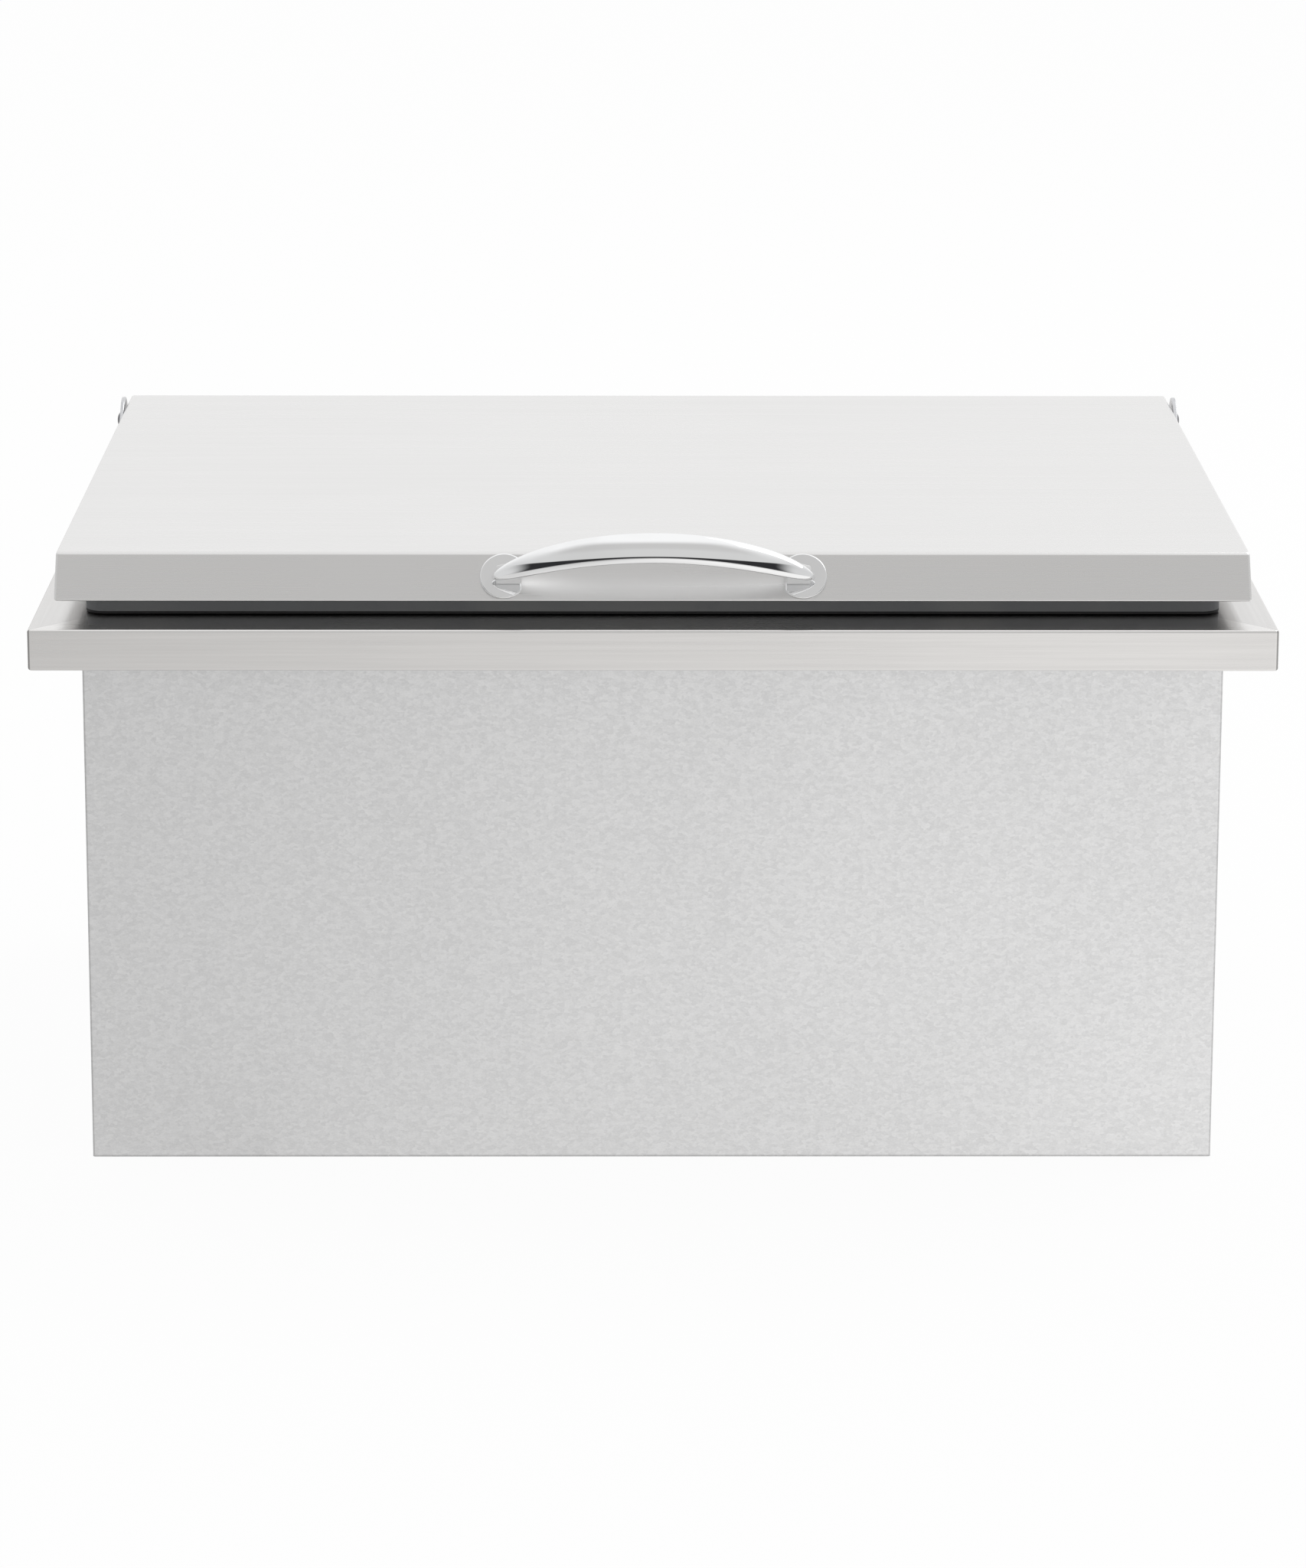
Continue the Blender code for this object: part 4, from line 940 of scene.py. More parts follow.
print("bow:", mm(2 * handle_reach), "mm long, on an arc of", mm(bow_radius), "mm")


# %% The bow's rule
def make_bow_sweep():
    """An oval rod on an arc, with its sizes in the middle and at the tips."""
    tree, given, made = new_rule("bow_sweep", Place="Vector", **bow_sizes)

    def solve(operation, *values):
        return maths(tree, operation, *values)

    rod = add(tree, "GeometryNodeMeshCylinder", Vertices=BOW_SIDES, Side_Segments=BOW_ROWS, Radius=1.0)
    rod.inputs["Depth"].default_value = 2.0
    across, away, along = parts_of(tree, add(tree, "GeometryNodeInputPosition").outputs[0])
    share = solve("SINE", solve("MULTIPLY", along, math.pi / 2))
    far = solve("ABSOLUTE", share)
    fullness = solve("SQRT", solve("SUBTRACT", 1.0, solve("POWER", far, TIP_POWER)))
    taper = solve("SUBTRACT", 1.0, solve("POWER", far, TAPER_POWER))

    def half_size(tip, middle):
        grown = solve("MULTIPLY_ADD", solve("SUBTRACT", middle, tip), taper, tip)
        return solve("MULTIPLY", solve("MULTIPLY", grown, fullness), 0.5)

    drop = solve("SUBTRACT", given["Rise"], given["End Rise"])
    squares = solve("MULTIPLY_ADD", given["Reach"], given["Reach"], solve("MULTIPLY", drop, drop))
    radius = solve("DIVIDE", squares, solve("MULTIPLY", drop, 2.0))
    angle = solve("MULTIPLY", solve("ARCSINE", solve("DIVIDE", given["Reach"], radius)), share)
    span = solve("MULTIPLY_ADD", half_size(given["Tip Thickness"], given["Thickness"]), away, radius)
    x = solve("MULTIPLY", span, solve("SINE", angle))
    centre = solve("SUBTRACT", given["Rise"], radius)
    out = solve("ADD", solve("MULTIPLY", span, solve("COSINE", angle)), centre)
    line_out = solve("ADD", solve("MULTIPLY", radius, solve("COSINE", angle)), centre)
    climb = solve("DIVIDE", solve("SUBTRACT", line_out, given["End Rise"]), drop)
    whole_climb = solve("ADD", given["Drop"], given["Lift"])
    line_up = solve("SUBTRACT", solve("MULTIPLY", whole_climb, climb), given["Drop"])
    up = solve("MULTIPLY_ADD", half_size(given["Tip Width"], given["Width"]), across, line_up)
    bent = add(tree, "ShaderNodeCombineXYZ", X=x, Y=solve("MULTIPLY", out, -1.0), Z=up)
    shaped = add(tree, "GeometryNodeSetPosition", Geometry=rod.outputs["Mesh"], Position=bent.outputs[0])
    merged = add(tree, "GeometryNodeMergeByDistance", Geometry=shaped.outputs[0], Distance=BOW_MERGE)
    turn = add(tree, "ShaderNodeCombineXYZ", X=solve("MULTIPLY", given["Lean"], -1.0))
    leaned = add(
        tree,
        "GeometryNodeTransform",
        Geometry=merged.outputs[0],
        Translation=given["Place"],
        Rotation=turn.outputs[0],
    )
    return finish_rule(tree, given, made, leaned.outputs[0])


# %% Bow and legs
BASE_RADIUS, BASE_FLAT, BASE_BEVEL = 0.0137, 0.0101, 0.0008
LEG_WIDTH, LEG_LENGTH, LEG_DROP, LEG_ROUND, SCREW_DEPTH = 0.0095, 0.0145, 0.0008, 0.0012, 0.0045
CAST_STEPS = 4
bow = grow("bow_handle", make_bow_sweep(), Place=FACE_CENTRE, Material=chrome, **bow_sizes)
leg_foot = BASE_THICKNESS + 2 * GAP
legs, bores = [], []
for side in (-1, 1):
    near = HANDLE_SPACING / 2 - BASE_FLAT
    far = near + LEG_LENGTH
    tops = [HANDLE_RISE - bow_radius + math.sqrt(bow_radius**2 - x**2) for x in (near, far)]
    corners = ((near, leg_foot), (far, leg_foot), (far, tops[1]), (near, tops[0] - BOW_THICKNESS / 4))
    flanks = (-LEG_DROP - LEG_WIDTH / 2, LEG_WIDTH / 2 - LEG_DROP)
    leg = shell([[on_face(side * x, up, out) for x, out in corners] for up in flanks])
    rounding = {"offset": LEG_ROUND, "segments": CAST_STEPS, "profile": 0.5, "affect": "EDGES"}
    bmesh.ops.bevel(leg, geom=list(leg.edges), **rounding)
    legs.append(outwards(leg))
    start = on_face(side * HANDLE_SPACING / 2, 0, leg_foot - OVER)
    bores.append(pin(SCREW_HOLE, start, SCREW_DEPTH + OVER, FACE_OUT))
combine(bow, legs, "UNION")
combine(bow, bores)
fit(smooth(bow, angle=FINE_ANGLE), "lid", "handle_bow")

# %% Base plates
PLATE_SIDES = 72
flat_angle = math.acos(BASE_FLAT / BASE_RADIUS)
for side, name in SIDES:
    rim = []
    for step in range(PLATE_SIDES + 1):
        angle = (math.pi - flat_angle) * (2 * step / PLATE_SIDES - 1)
        x = HANDLE_SPACING / 2 + BASE_RADIUS * math.cos(angle)
        rim.append((side * x, BASE_RADIUS * math.sin(angle)))
    layers = [[on_face(x, up, out) for x, up in rim] for out in (GAP, GAP + BASE_THICKNESS)]
    plate = stand("base_plate_" + name, shell(layers), chrome)
    combine(plate, [pin(SCREW_HOLE, on_face(side * HANDLE_SPACING / 2, 0, -OVER), 3 * OVER, FACE_OUT)])
    fit(smooth(plate, BASE_BEVEL, segments=CAST_STEPS), "lid", "handle_base_" + name)

# %% [markdown]
# ## The lid's seal
#
# A seal is drawn as one endless strip and welded at its ends, so it is a section swept round a
# rectangle. Its foot lies under the pan and closes on the flange with two soft ribs, and is painted
# black for the shadow there. Its skirt stands round the pan's wall and is the dark band that shows
# under the lid's face.

# %% The seal's sweep
seal_sizes = {"Width": 2 * PAN_X, "Depth": PAN_BACK - PAN_FRONT, "Corner": PAN_CORNER}


def make_seal_sweep():
    """A section, given as a loop of edges, swept round a rectangle with rounded corners."""
    tree, given, made = new_rule("seal_sweep", Place="Vector", Section="Object", **seal_sizes)
    sides = add(tree, "GeometryNodeCurvePrimitiveQuadrilateral", Width=given["Width"], Height=given["Depth"])
    path = add(tree, "GeometryNodeFilletCurve", {"mode": "POLY"}, Curve=sides.outputs[0])
    path.inputs["Count"].default_value = CORNER_STEPS + 1
    feed(tree, given["Corner"], path.inputs["Radius"])
    upright = add(tree, "GeometryNodeSetCurveNormal", {"mode": "Z_UP"}, Curve=path.outputs[0])
    section = add(tree, "GeometryNodeObjectInfo", Object=given["Section"])
    profile = add(tree, "GeometryNodeMeshToCurve", Mesh=section.outputs["Geometry"])
    swept = add(tree, "GeometryNodeCurveToMesh", Curve=upright.outputs[0], Profile_Curve=profile.outputs[0])
    moved = add(tree, "GeometryNodeTransform", Geometry=swept.outputs[0], Translation=given["Place"])
    return finish_rule(tree, given, made, moved.outputs[0])


# %% Seal
SKIRT, FOOT_WIDTH, RIB, RIB_WIDTH, SEAL_ANGLE = 0.0012, 0.0097, 0.0005, 0.0016, 50
SKIRT_HEIGHT = gasket_high.z - gasket_low.z
section_points = [
    (-GAP - SKIRT, RIB),
    (-GAP - SKIRT, SKIRT_HEIGHT - SKIRT / 3),
    (-GAP - SKIRT * 2 / 3, SKIRT_HEIGHT),
    (-GAP - SKIRT / 3, SKIRT_HEIGHT),
    (-GAP, SKIRT_HEIGHT - SKIRT / 3),
    (-GAP, SEAL_LIP),
    (FOOT_WIDTH, SEAL_LIP),
    (FOOT_WIDTH, RIB),
]
for centre in (FOOT_WIDTH * 3 / 4, FOOT_WIDTH / 4):
    for across, depth in ((1, 1), (0.5, 0), (-0.5, 0), (-1, 1)):
        section_points.append((centre + across * RIB_WIDTH, depth * RIB))
section = bmesh.new()
corners = [section.verts.new((-inset, -height, 0)) for inset, height in section_points]
for corner, after in zip(corners, corners[1:] + corners[:1]):
    section.edges.new((corner, after))
section_object = stand("seal_section", section)
place = Vector((0, (PAN_FRONT + PAN_BACK) / 2, gasket_low.z))
lid_seal = grow(
    "lid_seal", make_seal_sweep(), Place=place, Section=section_object, Material=seal, **seal_sizes
)
bpy.data.objects.remove(section_object)
fit(smooth(lid_seal, angle=SEAL_ANGLE), "lid", "lid_gasket")

# %% [markdown]
# ## Rivets
#
# Six rivets close the jacket's back and four hold the hinge brackets' feet. They are all alike, so
# one rivet is turned once, and a tree sets a copy on every point, with its head along the given
# direction. A hand-set rivet is never quite the size of its neighbour, which a random scale with a
# fixed seed gives.

# %% A tree that sets rivets
RIVET_SPREAD, RIVET_SEED = 0.02, 7


def make_rivet_rows():
    """A copy of one rivet on each point, with its head along a direction."""
    tree, given, made = new_rule(
        "rivet_rows",
        Points="Object",
        Rivet="Object",
        Direction="Vector",
        Spread=RIVET_SPREAD,
        Seed=RIVET_SEED,
    )
    points = add(tree, "GeometryNodeObjectInfo", Object=given["Points"])
    rivet = add(tree, "GeometryNodeObjectInfo", Object=given["Rivet"])
    aim = add(tree, "FunctionNodeAlignRotationToVector", {"axis": "Z"}, Vector=given["Direction"])
    smallest = maths(tree, "SUBTRACT", 1.0, given["Spread"])
    size = add(tree, "FunctionNodeRandomValue", {"data_type": "FLOAT"}, Seed=given["Seed"])
    feed(tree, smallest, size.inputs[2])
    feed(tree, 1.0, size.inputs[3])
    across = add(tree, "ShaderNodeCombineXYZ", X=size.outputs[1], Y=size.outputs[1], Z=1.0)
    rows = add(
        tree,
        "GeometryNodeInstanceOnPoints",
        Points=points.outputs["Geometry"],
        Instance=rivet.outputs["Geometry"],
        Rotation=aim.outputs[0],
        Scale=across.outputs[0],
    )
    return finish_rule(tree, given, made, rows.outputs[0])


rivet_rows = make_rivet_rows()


# %% Rivets on the jacket and on the brackets' feet
DOME_STEPS, RIVET_SIDES = 7, 40


def dome(radius, height):
    """Outline points of a domed head, from its top out to its rim."""
    turns = [math.pi / 2 * (1 - step / DOME_STEPS) for step in range(DOME_STEPS + 1)]
    return [(radius * math.cos(turn), height * math.sin(turn)) for turn in turns]


def set_rivets(name, body, nodes, direction):
    """One piece of all the rivets that look one way, each where its node is."""
    axis = direction.index(1)
    boxes = [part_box(node) for node in nodes]
    length = boxes[0][1][axis] - boxes[0][0][axis] - RIVET_HEAD
    end = RIVET_RADIUS * 3 / 4
    outline = dome(RIVET_HEAD_RADIUS, RIVET_HEAD) + [
        (RIVET_RADIUS, 0),
        (RIVET_RADIUS, end - length),
        (RIVET_TAIL_RADIUS, end - length),
        (RIVET_RADIUS, -length),
        (0, -length),
    ]
    rivet = stand("rivet", turned(outline, (0, 0, 0), sides=RIVET_SIDES))
    seats = bmesh.new()
    for low, high in boxes:
        seat = (low + high) / 2
        seat[axis] = high[axis] - RIVET_HEAD
        seats.verts.new(seat)
    points = stand("rivet_points", seats)
    aim = Vector(direction)
    item = grow(name, rivet_rows, Points=points, Rivet=rivet, Direction=aim, Material=plated)
    for helper in (rivet, points):
        bpy.data.objects.remove(helper)
    fit(smooth(item, angle=FINE_ANGLE), body, *nodes)


set_rivets("back_rivets", "bin", [f"back_rivet_{number}" for number in range(1, 7)], (0, 1, 0))
set_rivets("bracket_rivets", "bin", BRACKET_RIVETS, (0, 0, 1))

# %% [markdown]
# ## The hinges
#
# At each rear corner a bracket is riveted to the flange, and a bolt through its ear carries the lid.
# The bracket and its nut are right as solids but for their razor edges, so copies of them get a
# small bevel. A solid's mesh is loose triangles, so the copy is merged and its flat faces joined
# first. The bolt is turned anew, with a domed head and a six-sided socket.

# %% Softened copies of solids
FLAT_WITHIN, BRACKET_EDGE, NUT_EDGE = 0.5, 0.0004, 0.0003


def softened(name, node, look, bevel):
    """A copy of one of the bin's solids with joined flat faces and softly rounded edges."""
    shape = bmesh.new()
    shape.from_mesh(frame["nodes"][node].data)
    bmesh.ops.remove_doubles(shape, verts=shape.verts, dist=MERGE)
    flat = math.radians(FLAT_WITHIN)
    bmesh.ops.dissolve_limit(shape, angle_limit=flat, verts=shape.verts, edges=shape.edges)
    return fit(smooth(stand(name, shape, look), bevel), "bin", node)


for side in ("left", "right"):
    softened("bracket_" + side, "hinge_bracket_" + side, plated, BRACKET_EDGE)
    softened("pivot_hex_nut_" + side, "pivot_nut_" + side, plated, NUT_EDGE)

# %% Pivot bolts and washers
BOLT_RADIUS, BOLT_HEAD_RADIUS, BOLT_HEAD, BOLT_RIM = 0.003, 0.0047, 0.0028, 0.0008
SOCKET, SOCKET_DEPTH, SOCKET_SIDES = 0.0015, 0.0014, 6
WASHER_RADIUS, WASHER_EDGE = 0.0062, 0.0002
for side, name in SIDES:
    bolt_low, bolt_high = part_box("pivot_bolt_" + name)
    length = bolt_high.x - bolt_low.x
    shank = BOLT_HEAD - length
    seat = (side * (max(abs(bolt_low.x), abs(bolt_high.x)) - BOLT_HEAD), PIVOT.y, PIVOT.z)
    head = [(radius, height + BOLT_RIM) for radius, height in dome(BOLT_HEAD_RADIUS, BOLT_HEAD - BOLT_RIM)]
    outline = head + [(BOLT_HEAD_RADIUS, 0), (BOLT_RADIUS, 0), (BOLT_RADIUS, shank), (0, shank)]
    bolt = stand("button_bolt_" + name, turned(outline, seat, (side, 0, 0), sides=PIN_SIDES), dark_plated)
    socket_start = Vector(seat) + Vector((side * (BOLT_HEAD - SOCKET_DEPTH), 0, 0))
    combine(bolt, [pin(SOCKET, socket_start, BOLT_HEAD, (side, 0, 0), sides=SOCKET_SIDES)])
    fit(smooth(bolt, angle=FINE_ANGLE), "bin", "pivot_bolt_" + name)
    washer_low, washer_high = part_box("pivot_washer_" + name)
    thickness = washer_high.x - washer_low.x
    washer_outline = (
        (PIVOT_HOLE, 0),
        (WASHER_RADIUS - WASHER_EDGE, 0),
        (WASHER_RADIUS, WASHER_EDGE),
        (WASHER_RADIUS, thickness - WASHER_EDGE),
        (WASHER_RADIUS - WASHER_EDGE, thickness),
        (PIVOT_HOLE, thickness),
    )
    start = (washer_low.x, PIVOT.y, PIVOT.z)
    washer = turned(washer_outline, start, (1, 0, 0), closed=True, sides=PIN_SIDES)
    fit(smooth(stand("flat_washer_" + name, washer, plated)), "bin", "pivot_washer_" + name)

# %% [markdown]
# ## The drain
#
# A flanged spud goes down through the tub's dish and is drawn tight from below by a locknut on a
# rubber ring. A pierced plate keeps ice out of the pipe, and a rubber plug with a knob closes it.
# Round things are turned from an outline, and the plate's ring of holes is a pattern, so it is a
# tree.

# %% A tree for a pierced plate
STRAINER_HOLE, STRAINER_RING, STRAINER_HOLES, PUNCH = 0.0018, 0.0085, 8, 3.0
DISC_SIDES, HOLE_SIDES = 96, 28
strainer_low, strainer_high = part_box("drain_strainer")
strainer_sizes = {
    "Radius": (strainer_high.x - strainer_low.x) / 2,
    "Thickness": strainer_high.z - strainer_low.z,
    "Hole_Radius": STRAINER_HOLE,
    "Ring_Radius": STRAINER_RING,
    "Holes": STRAINER_HOLES,
}


def make_pierced_disc():
    """A disc with one hole in the middle and a ring of holes round it."""
    tree, given, made = new_rule("pierced_disc", Place="Vector", **strainer_sizes)

    def cylinder(sides, radius, depth):
        node = add(tree, "GeometryNodeMeshCylinder", Vertices=sides, Radius=radius, Depth=depth)
        return node.outputs["Mesh"]

    plate = cylinder(DISC_SIDES, given["Radius"], given["Thickness"])
    spots = add(tree, "GeometryNodeMeshCircle", Vertices=given["Holes"], Radius=given["Ring Radius"])
    middle = add(tree, "GeometryNodePoints", Count=1)
    all_spots = add(tree, "GeometryNodeJoinGeometry")
    punch = cylinder(HOLE_SIDES, given["Hole Radius"], maths(tree, "MULTIPLY", given["Thickness"], PUNCH))
    for spot in (spots.outputs[0], middle.outputs[0]):
        feed(tree, spot, all_spots.inputs[0])
    punches = add(tree, "GeometryNodeInstanceOnPoints", Points=all_spots.outputs[0], Instance=punch)
    pierced = add(tree, "GeometryNodeMeshBoolean", {"operation": "DIFFERENCE", "solver": "EXACT"})
    feed(tree, plate, pierced.inputs["Mesh 1"])
    feed(tree, punches.outputs[0], pierced.inputs["Mesh 2"])
    moved = add(tree, "GeometryNodeTransform", Geometry=pierced.outputs["Mesh"], Translation=given["Place"])
    return finish_rule(tree, given, made, moved.outputs[0])


# %% Strainer
TURNED_EDGE, RUBBER_EDGE, LOCKNUT_EDGE = 0.0002, 0.0004, 0.0006
place = (strainer_low + strainer_high) / 2
strainer = grow(
    "pierced_strainer", make_pierced_disc(), Place=place, Material=drain_steel, **strainer_sizes
)
fit(smooth(strainer, TURNED_EDGE), "bin", "drain_strainer")

# %% Spud, ring and locknut
SPUD_BORE, SPUD_RADIUS, SPUD_THROAT, SPUD_FLANGE = 0.012, 0.018, 0.015, 0.0015
THROAT_DEPTH, PLUG_TAPER, PLUG_STEM, SPUD_SIDES = 0.010, 0.0012, 0.006, 80
axis_place = (DRAIN.x, DRAIN.y, 0)
flange_radius = (spud_high.x - spud_low.x) / 2
spud_outline = (
    (SPUD_BORE, spud_low.z),
    (SPUD_RADIUS, spud_low.z),
    (SPUD_RADIUS, spud_high.z - SPUD_FLANGE),
    (flange_radius, spud_high.z - SPUD_FLANGE),
    (flange_radius, spud_high.z - SPUD_FLANGE * 2 / 3),
    (flange_radius - SPUD_FLANGE / 2, spud_high.z - SPUD_FLANGE / 6),
    (flange_radius - SPUD_FLANGE, spud_high.z),
    (SPUD_THROAT + PLUG_TAPER, spud_high.z),
    (SPUD_THROAT, spud_high.z - PLUG_STEM),
    (SPUD_THROAT, spud_high.z - THROAT_DEPTH),
    (SPUD_BORE, spud_high.z - THROAT_DEPTH),
)
spud = stand("turned_spud", turned(spud_outline, axis_place, closed=True, sides=SPUD_SIDES), drain_steel)
fit(smooth(spud, TURNED_EDGE), "bin", "drain_spud")
ring_low, ring_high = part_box("drain_gasket")
ring_radius = (ring_high.x - ring_low.x) / 2
ring_outline = [(radius, ring_low.z) for radius in (DRAIN_HOLE, ring_radius)]
ring_outline += [(radius, ring_high.z) for radius in (ring_radius, DRAIN_HOLE)]
sealing_ring = stand("sealing_ring", turned(ring_outline, axis_place, closed=True), rubber)
fit(smooth(sealing_ring, RUBBER_EDGE), "bin", "drain_gasket")
softened("hex_locknut", "drain_locknut", plated, LOCKNUT_EDGE)

# %% Plug
PLUG_EDGE, KNOB_NECK, KNOB_RADIUS, KNOB_HEIGHT, KNOB_STEPS = 0.001, 0.0035, 0.006, 0.010, 11
PLUG_SIDES, PLUG_ANGLE = 72, 40
plug_low, plug_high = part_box("drain_plug")
plug_radius = (plug_high.x - plug_low.x) / 2
plug_seat = plug_low.z + PLUG_STEM
knob_foot = plug_high.z - KNOB_HEIGHT
plug_outline = [
    (0, plug_low.z),
    (SPUD_THROAT - GAP - PLUG_EDGE, plug_low.z),
    (SPUD_THROAT - GAP, plug_low.z + PLUG_EDGE),
    (SPUD_THROAT + PLUG_TAPER - 2 * GAP, plug_seat),
    (plug_radius, plug_seat),
    (plug_radius, knob_foot - PLUG_EDGE),
    (plug_radius - PLUG_EDGE / 3, knob_foot - PLUG_EDGE / 3),
    (plug_radius - PLUG_EDGE, knob_foot),
    (KNOB_NECK + PLUG_EDGE, knob_foot),
    (KNOB_NECK + PLUG_EDGE / 4, knob_foot + PLUG_EDGE / 3),
    (KNOB_NECK, knob_foot + PLUG_EDGE),
    (KNOB_NECK, knob_foot + KNOB_HEIGHT / 2),
]
knob_start = -math.acos((KNOB_NECK / KNOB_RADIUS) ** 2)
knob_swell = KNOB_HEIGHT / 2 / (1 - math.sin(knob_start))
for step in range(1, KNOB_STEPS + 1):
    turn = knob_start + (math.pi / 2 - knob_start) * step / KNOB_STEPS
    height = plug_high.z - knob_swell * (1 - math.sin(turn))
    plug_outline.append((KNOB_RADIUS * math.sqrt(abs(math.cos(turn))), height))
plug = stand("rubber_plug", turned(plug_outline, axis_place, sides=PLUG_SIDES), rubber)
fit(smooth(plug, angle=PLUG_ANGLE), "plug", "drain_plug")

# %% [markdown]
# ## The jacket
#
# The wrap, the back panel and the bottom pan are right as solids. Only their cut edges are dulled, as
# a guillotine and a file leave them.

# %% Jacket sheets
JACKET_EDGE = 0.0002
for node in ("jacket_wrap", "jacket_back_panel", "jacket_bottom_pan"):
    softened("galvanised_" + node.removeprefix("jacket_"), node, galvanised, JACKET_EDGE)

# %% [markdown]
# ## The studio
#
# The bin was photographed on white, under light so soft that metal shows broad, calm tones. Metal
# shows what stands round it, so the world is painted as such a studio: white behind and overhead,
# light grey in front and at the sides, and a dark gap low in front, where the room lies open, for
# the chrome's black lines. The light path shows the gap to mirror-sharp chrome only, because brushed
# sheet that mirrored it looked black from behind. The camera sees plain white.

# %% World
WHITE, CEILING_TONE, WALL_TONE = (1.0, 1.0, 1.0), (0.60, 0.595, 0.59), (0.67, 0.67, 0.665)
SIDE_TONE, GAP_TONE = (0.70, 0.70, 0.70), (0.03, 0.03, 0.032)
WALL_TOP, CEILING_END, FRONT_EDGE, SIDE_EDGE = (0.62, 0.78), (0.86, 0.98), (0.15, -0.35), (0.55, 0.95)
GAP_RISE, GAP_HEIGHT, GAP_FADE, GAP_END = 0.45, 0.12, 0.05, (0.84, 0.96)


def blended(tree, factor, first, second):
    """Mixes two shaders."""
    node = add(tree, "ShaderNodeMixShader")
    for value, socket in zip((factor, first, second), node.inputs):
        feed(tree, value, socket)
    return node.outputs[0]


def make_world():
    """A studio in soft tones for light and reflections, and white for the camera."""
    world = bpy.data.worlds.new("soft_studio")
    bpy.context.scene.world = world
    world.use_nodes = True
    tree = world.node_tree
    tree.nodes.clear()
    x, y, z = parts_of(tree, add(tree, "ShaderNodeTexCoord").outputs["Generated"])
    front_tone = mixed(tree, faded(tree, z, *WALL_TOP, 1.0, 0.0), CEILING_TONE, WALL_TONE)
    front_tone = mixed(tree, faded(tree, z, *CEILING_END), front_tone, WHITE)
    front = faded(tree, y, *FRONT_EDGE)
    tone = mixed(tree, front, WHITE, front_tone)
    aside = maths(tree, "ABSOLUTE", x)
    tone = mixed(tree, faded(tree, aside, *SIDE_EDGE), tone, SIDE_TONE)
    gap_top = maths(tree, "MULTIPLY_ADD", maths(tree, "MULTIPLY", x, x), GAP_RISE, GAP_HEIGHT)
    gap = faded(tree, maths(tree, "SUBTRACT", z, gap_top), 0.0, GAP_FADE, 1.0, 0.0)
    path = add(tree, "ShaderNodeLightPath").outputs
    for limit in (faded(tree, aside, *GAP_END, 1.0, 0.0), front, path["Is Singular Ray"]):
        gap = maths(tree, "MULTIPLY", gap, limit)
    tone = mixed(tree, gap, tone, GAP_TONE)
    light = add(tree, "ShaderNodeBackground", Color=tone, Strength=1.0)
    seen = add(tree, "ShaderNodeBackground", Color=WHITE, Strength=1.0)
    both = blended(tree, path["Is Camera Ray"], light.outputs[0], seen.outputs[0])
    feed(tree, both, add(tree, "ShaderNodeOutputWorld").inputs["Surface"])
    print("world:", world.name, "with", len(tree.nodes), "nodes")


make_world()

# %% [markdown]
# ## The floor
#
# The floor is pale and keeps the bin's soft shadow, yet it has to look white to the camera. So the
# camera sees the shaded floor under a white glow. Metal sees a glow too, a little brighter on the
# right, where the photograph's front lips grow lighter.

# %% Floor
FLOOR_SIZE, FLOOR_DROP, FLOOR_TONE, FLOOR_ROUGHNESS = 14, 0.0005, (0.92, 0.92, 0.92), 0.9
GLOW_TONE, GLOW_LEFT, GLOW_FAR = (1.0, 0.99, 0.98), 0.69, 0.55
GLOW_ACROSS, GLOW_DEEP = (-0.62, 0.52), (-3.2, -2.2)
CAMERA_GLOW, METAL_GLOW = 0.94, 0.85


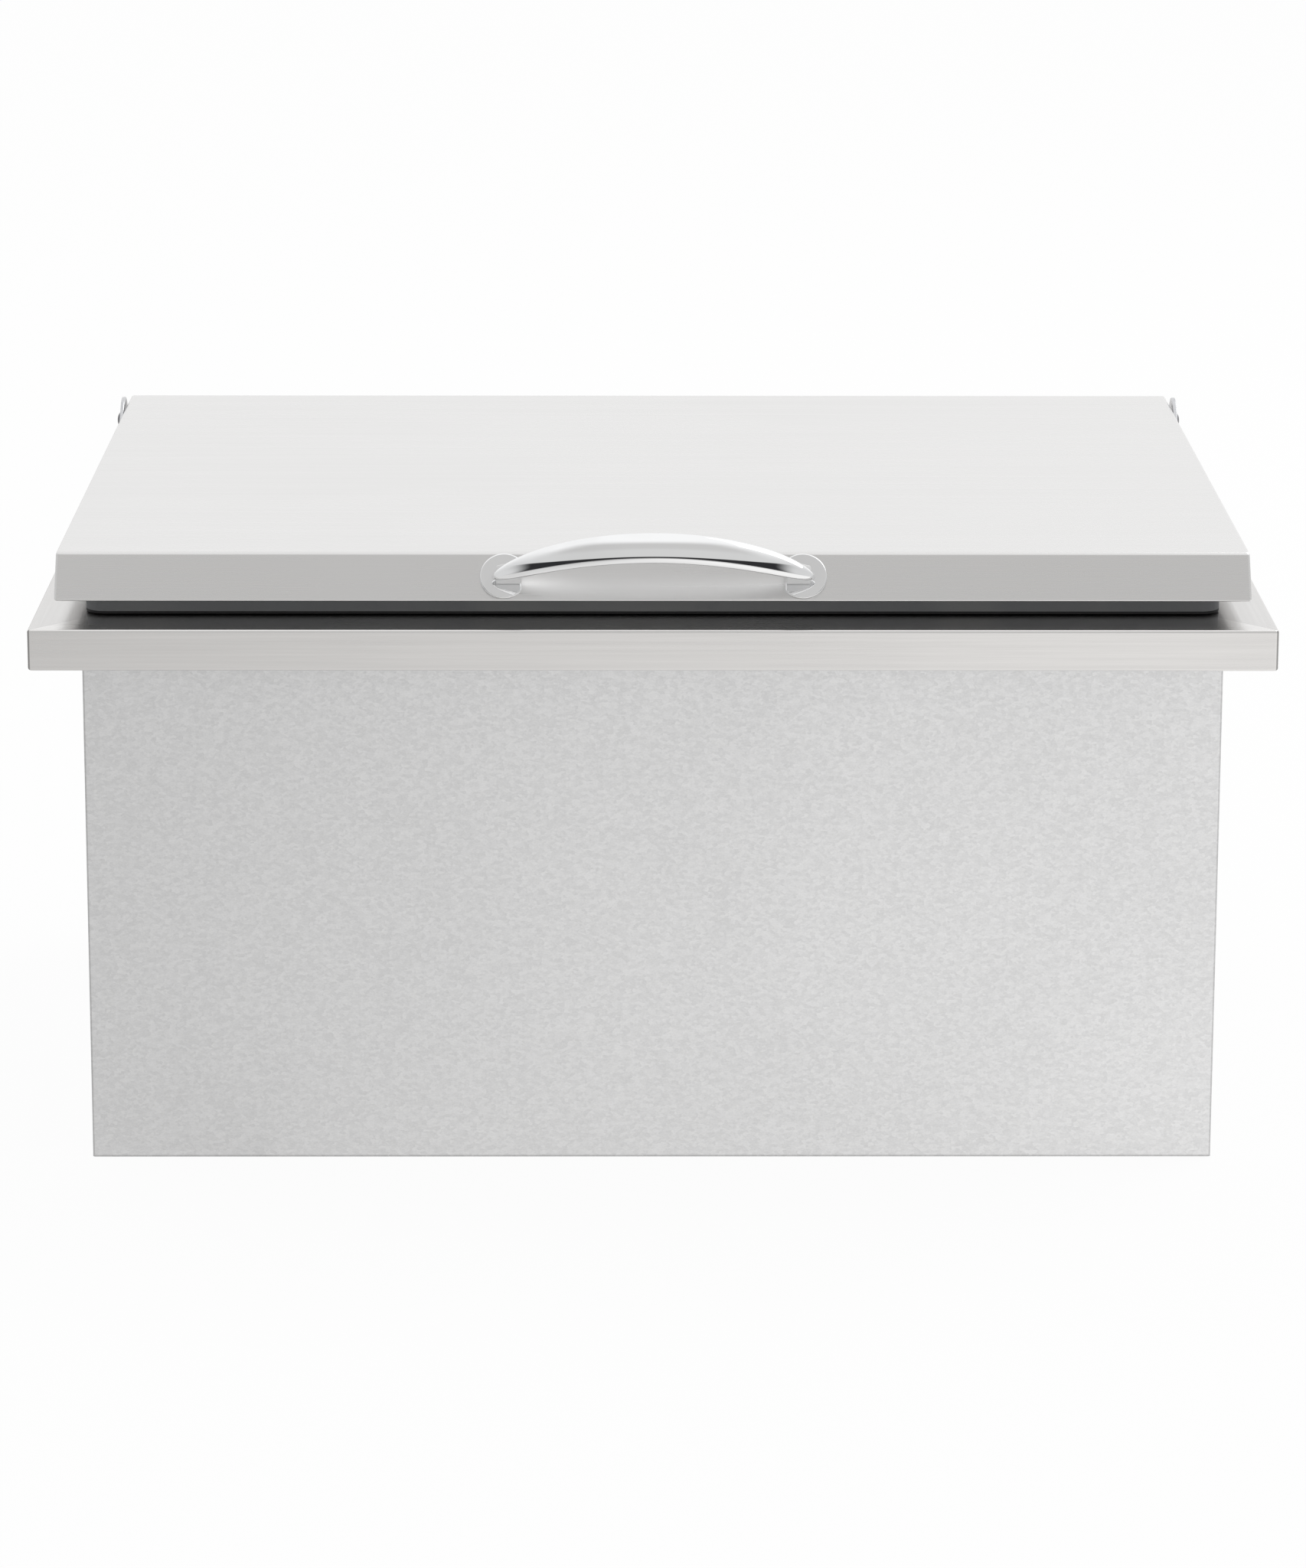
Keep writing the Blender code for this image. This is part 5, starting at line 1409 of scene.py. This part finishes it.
def make_floor():
    """A pale floor that keeps a soft shadow and looks white to the camera and to the metal."""
    shape = bmesh.new()
    bmesh.ops.create_grid(shape, x_segments=1, y_segments=1, size=FLOOR_SIZE)
    look, tree, place = new_material("pale_floor", 0.0, FLOOR_ROUGHNESS)
    surfaced(look, FLOOR_TONE)
    shader = tree.nodes["Principled BSDF"]
    shader.inputs["Specular IOR Level"].default_value = 0.0
    parts = parts_of(tree, place)
    tone = maths(
        tree,
        "MULTIPLY",
        faded(tree, parts["X"], *GLOW_ACROSS, GLOW_LEFT, 1.0),
        faded(tree, parts["Y"], *GLOW_DEEP, GLOW_FAR, 1.0),
    )
    glow = add(tree, "ShaderNodeEmission", Color=WHITE, Strength=1.0).outputs[0]
    mirror_glow = add(tree, "ShaderNodeEmission", Color=GLOW_TONE, Strength=tone).outputs[0]
    path = add(tree, "ShaderNodeLightPath").outputs
    to_camera = maths(tree, "MULTIPLY", path["Is Camera Ray"], CAMERA_GLOW)
    to_metal = maths(tree, "MULTIPLY", path["Is Glossy Ray"], METAL_GLOW)
    seen = blended(tree, to_camera, shader.outputs[0], glow)
    surface = blended(tree, to_metal, seen, mirror_glow)
    feed(tree, surface, tree.nodes["Material Output"].inputs["Surface"])
    floor = stand("studio_floor", shape, look)
    floor.location.z = -FLOOR_DROP
    print("floor:", 2 * FLOOR_SIZE, "m square")


make_floor()

# %% [markdown]
# ## The lamp
#
# One large softbox hangs high behind the bin, on the right. It gives the soft light a direction, so
# that folds and rivets have a lit side.

# %% Lamp
LAMP_PLACE, LAMP_AIM, LAMP_SIZE, LAMP_POWER = Vector((2.0, 1.2, 2.6)), Vector((0, 0, 0.2)), 2.0, 22
lamp_data = bpy.data.lights.new("key_softbox", "AREA")
lamp_data.shape = "SQUARE"
lamp_data.size = LAMP_SIZE
lamp_data.energy = LAMP_POWER
lamp = bpy.data.objects.new("key_softbox", lamp_data)
lamp.location = LAMP_PLACE
lamp.rotation_euler = (LAMP_AIM - LAMP_PLACE).to_track_quat("-Z", "Y").to_euler()
bpy.context.scene.collection.objects.link(lamp)
print("lamp:", lamp.name, "of", LAMP_POWER, "W")

# %% [markdown]
# ## The camera
#
# The photograph looks down on the lid by some twelve degrees with a long lens. Its verticals run
# straight, as after a shift of the lens, so part of the aim is made with a little shift.

# %% Camera
CAMERA_PLACE = (-0.0207, -3.043, 1.0112)
CAMERA_PITCH, CAMERA_YAW, CAMERA_ROLL = -12.374, 0.388, -0.122
CAMERA_LENS, CAMERA_SENSOR, CAMERA_SHIFT = 116.19, 36, -0.18
camera_data = bpy.data.cameras.new("studio_camera")
camera_data.lens = CAMERA_LENS
camera_data.sensor_width = CAMERA_SENSOR
camera_data.shift_y = CAMERA_SHIFT
camera = bpy.data.objects.new("studio_camera", camera_data)
camera.location = CAMERA_PLACE
camera_turn = (90 + CAMERA_PITCH, CAMERA_ROLL, -CAMERA_YAW)
camera.rotation_euler = [math.radians(angle) for angle in camera_turn]
bpy.context.scene.collection.objects.link(camera)
bpy.context.scene.camera = camera
bpy.context.scene.view_settings.view_transform = "Standard"
print("camera looks down by", -CAMERA_PITCH, "degrees")
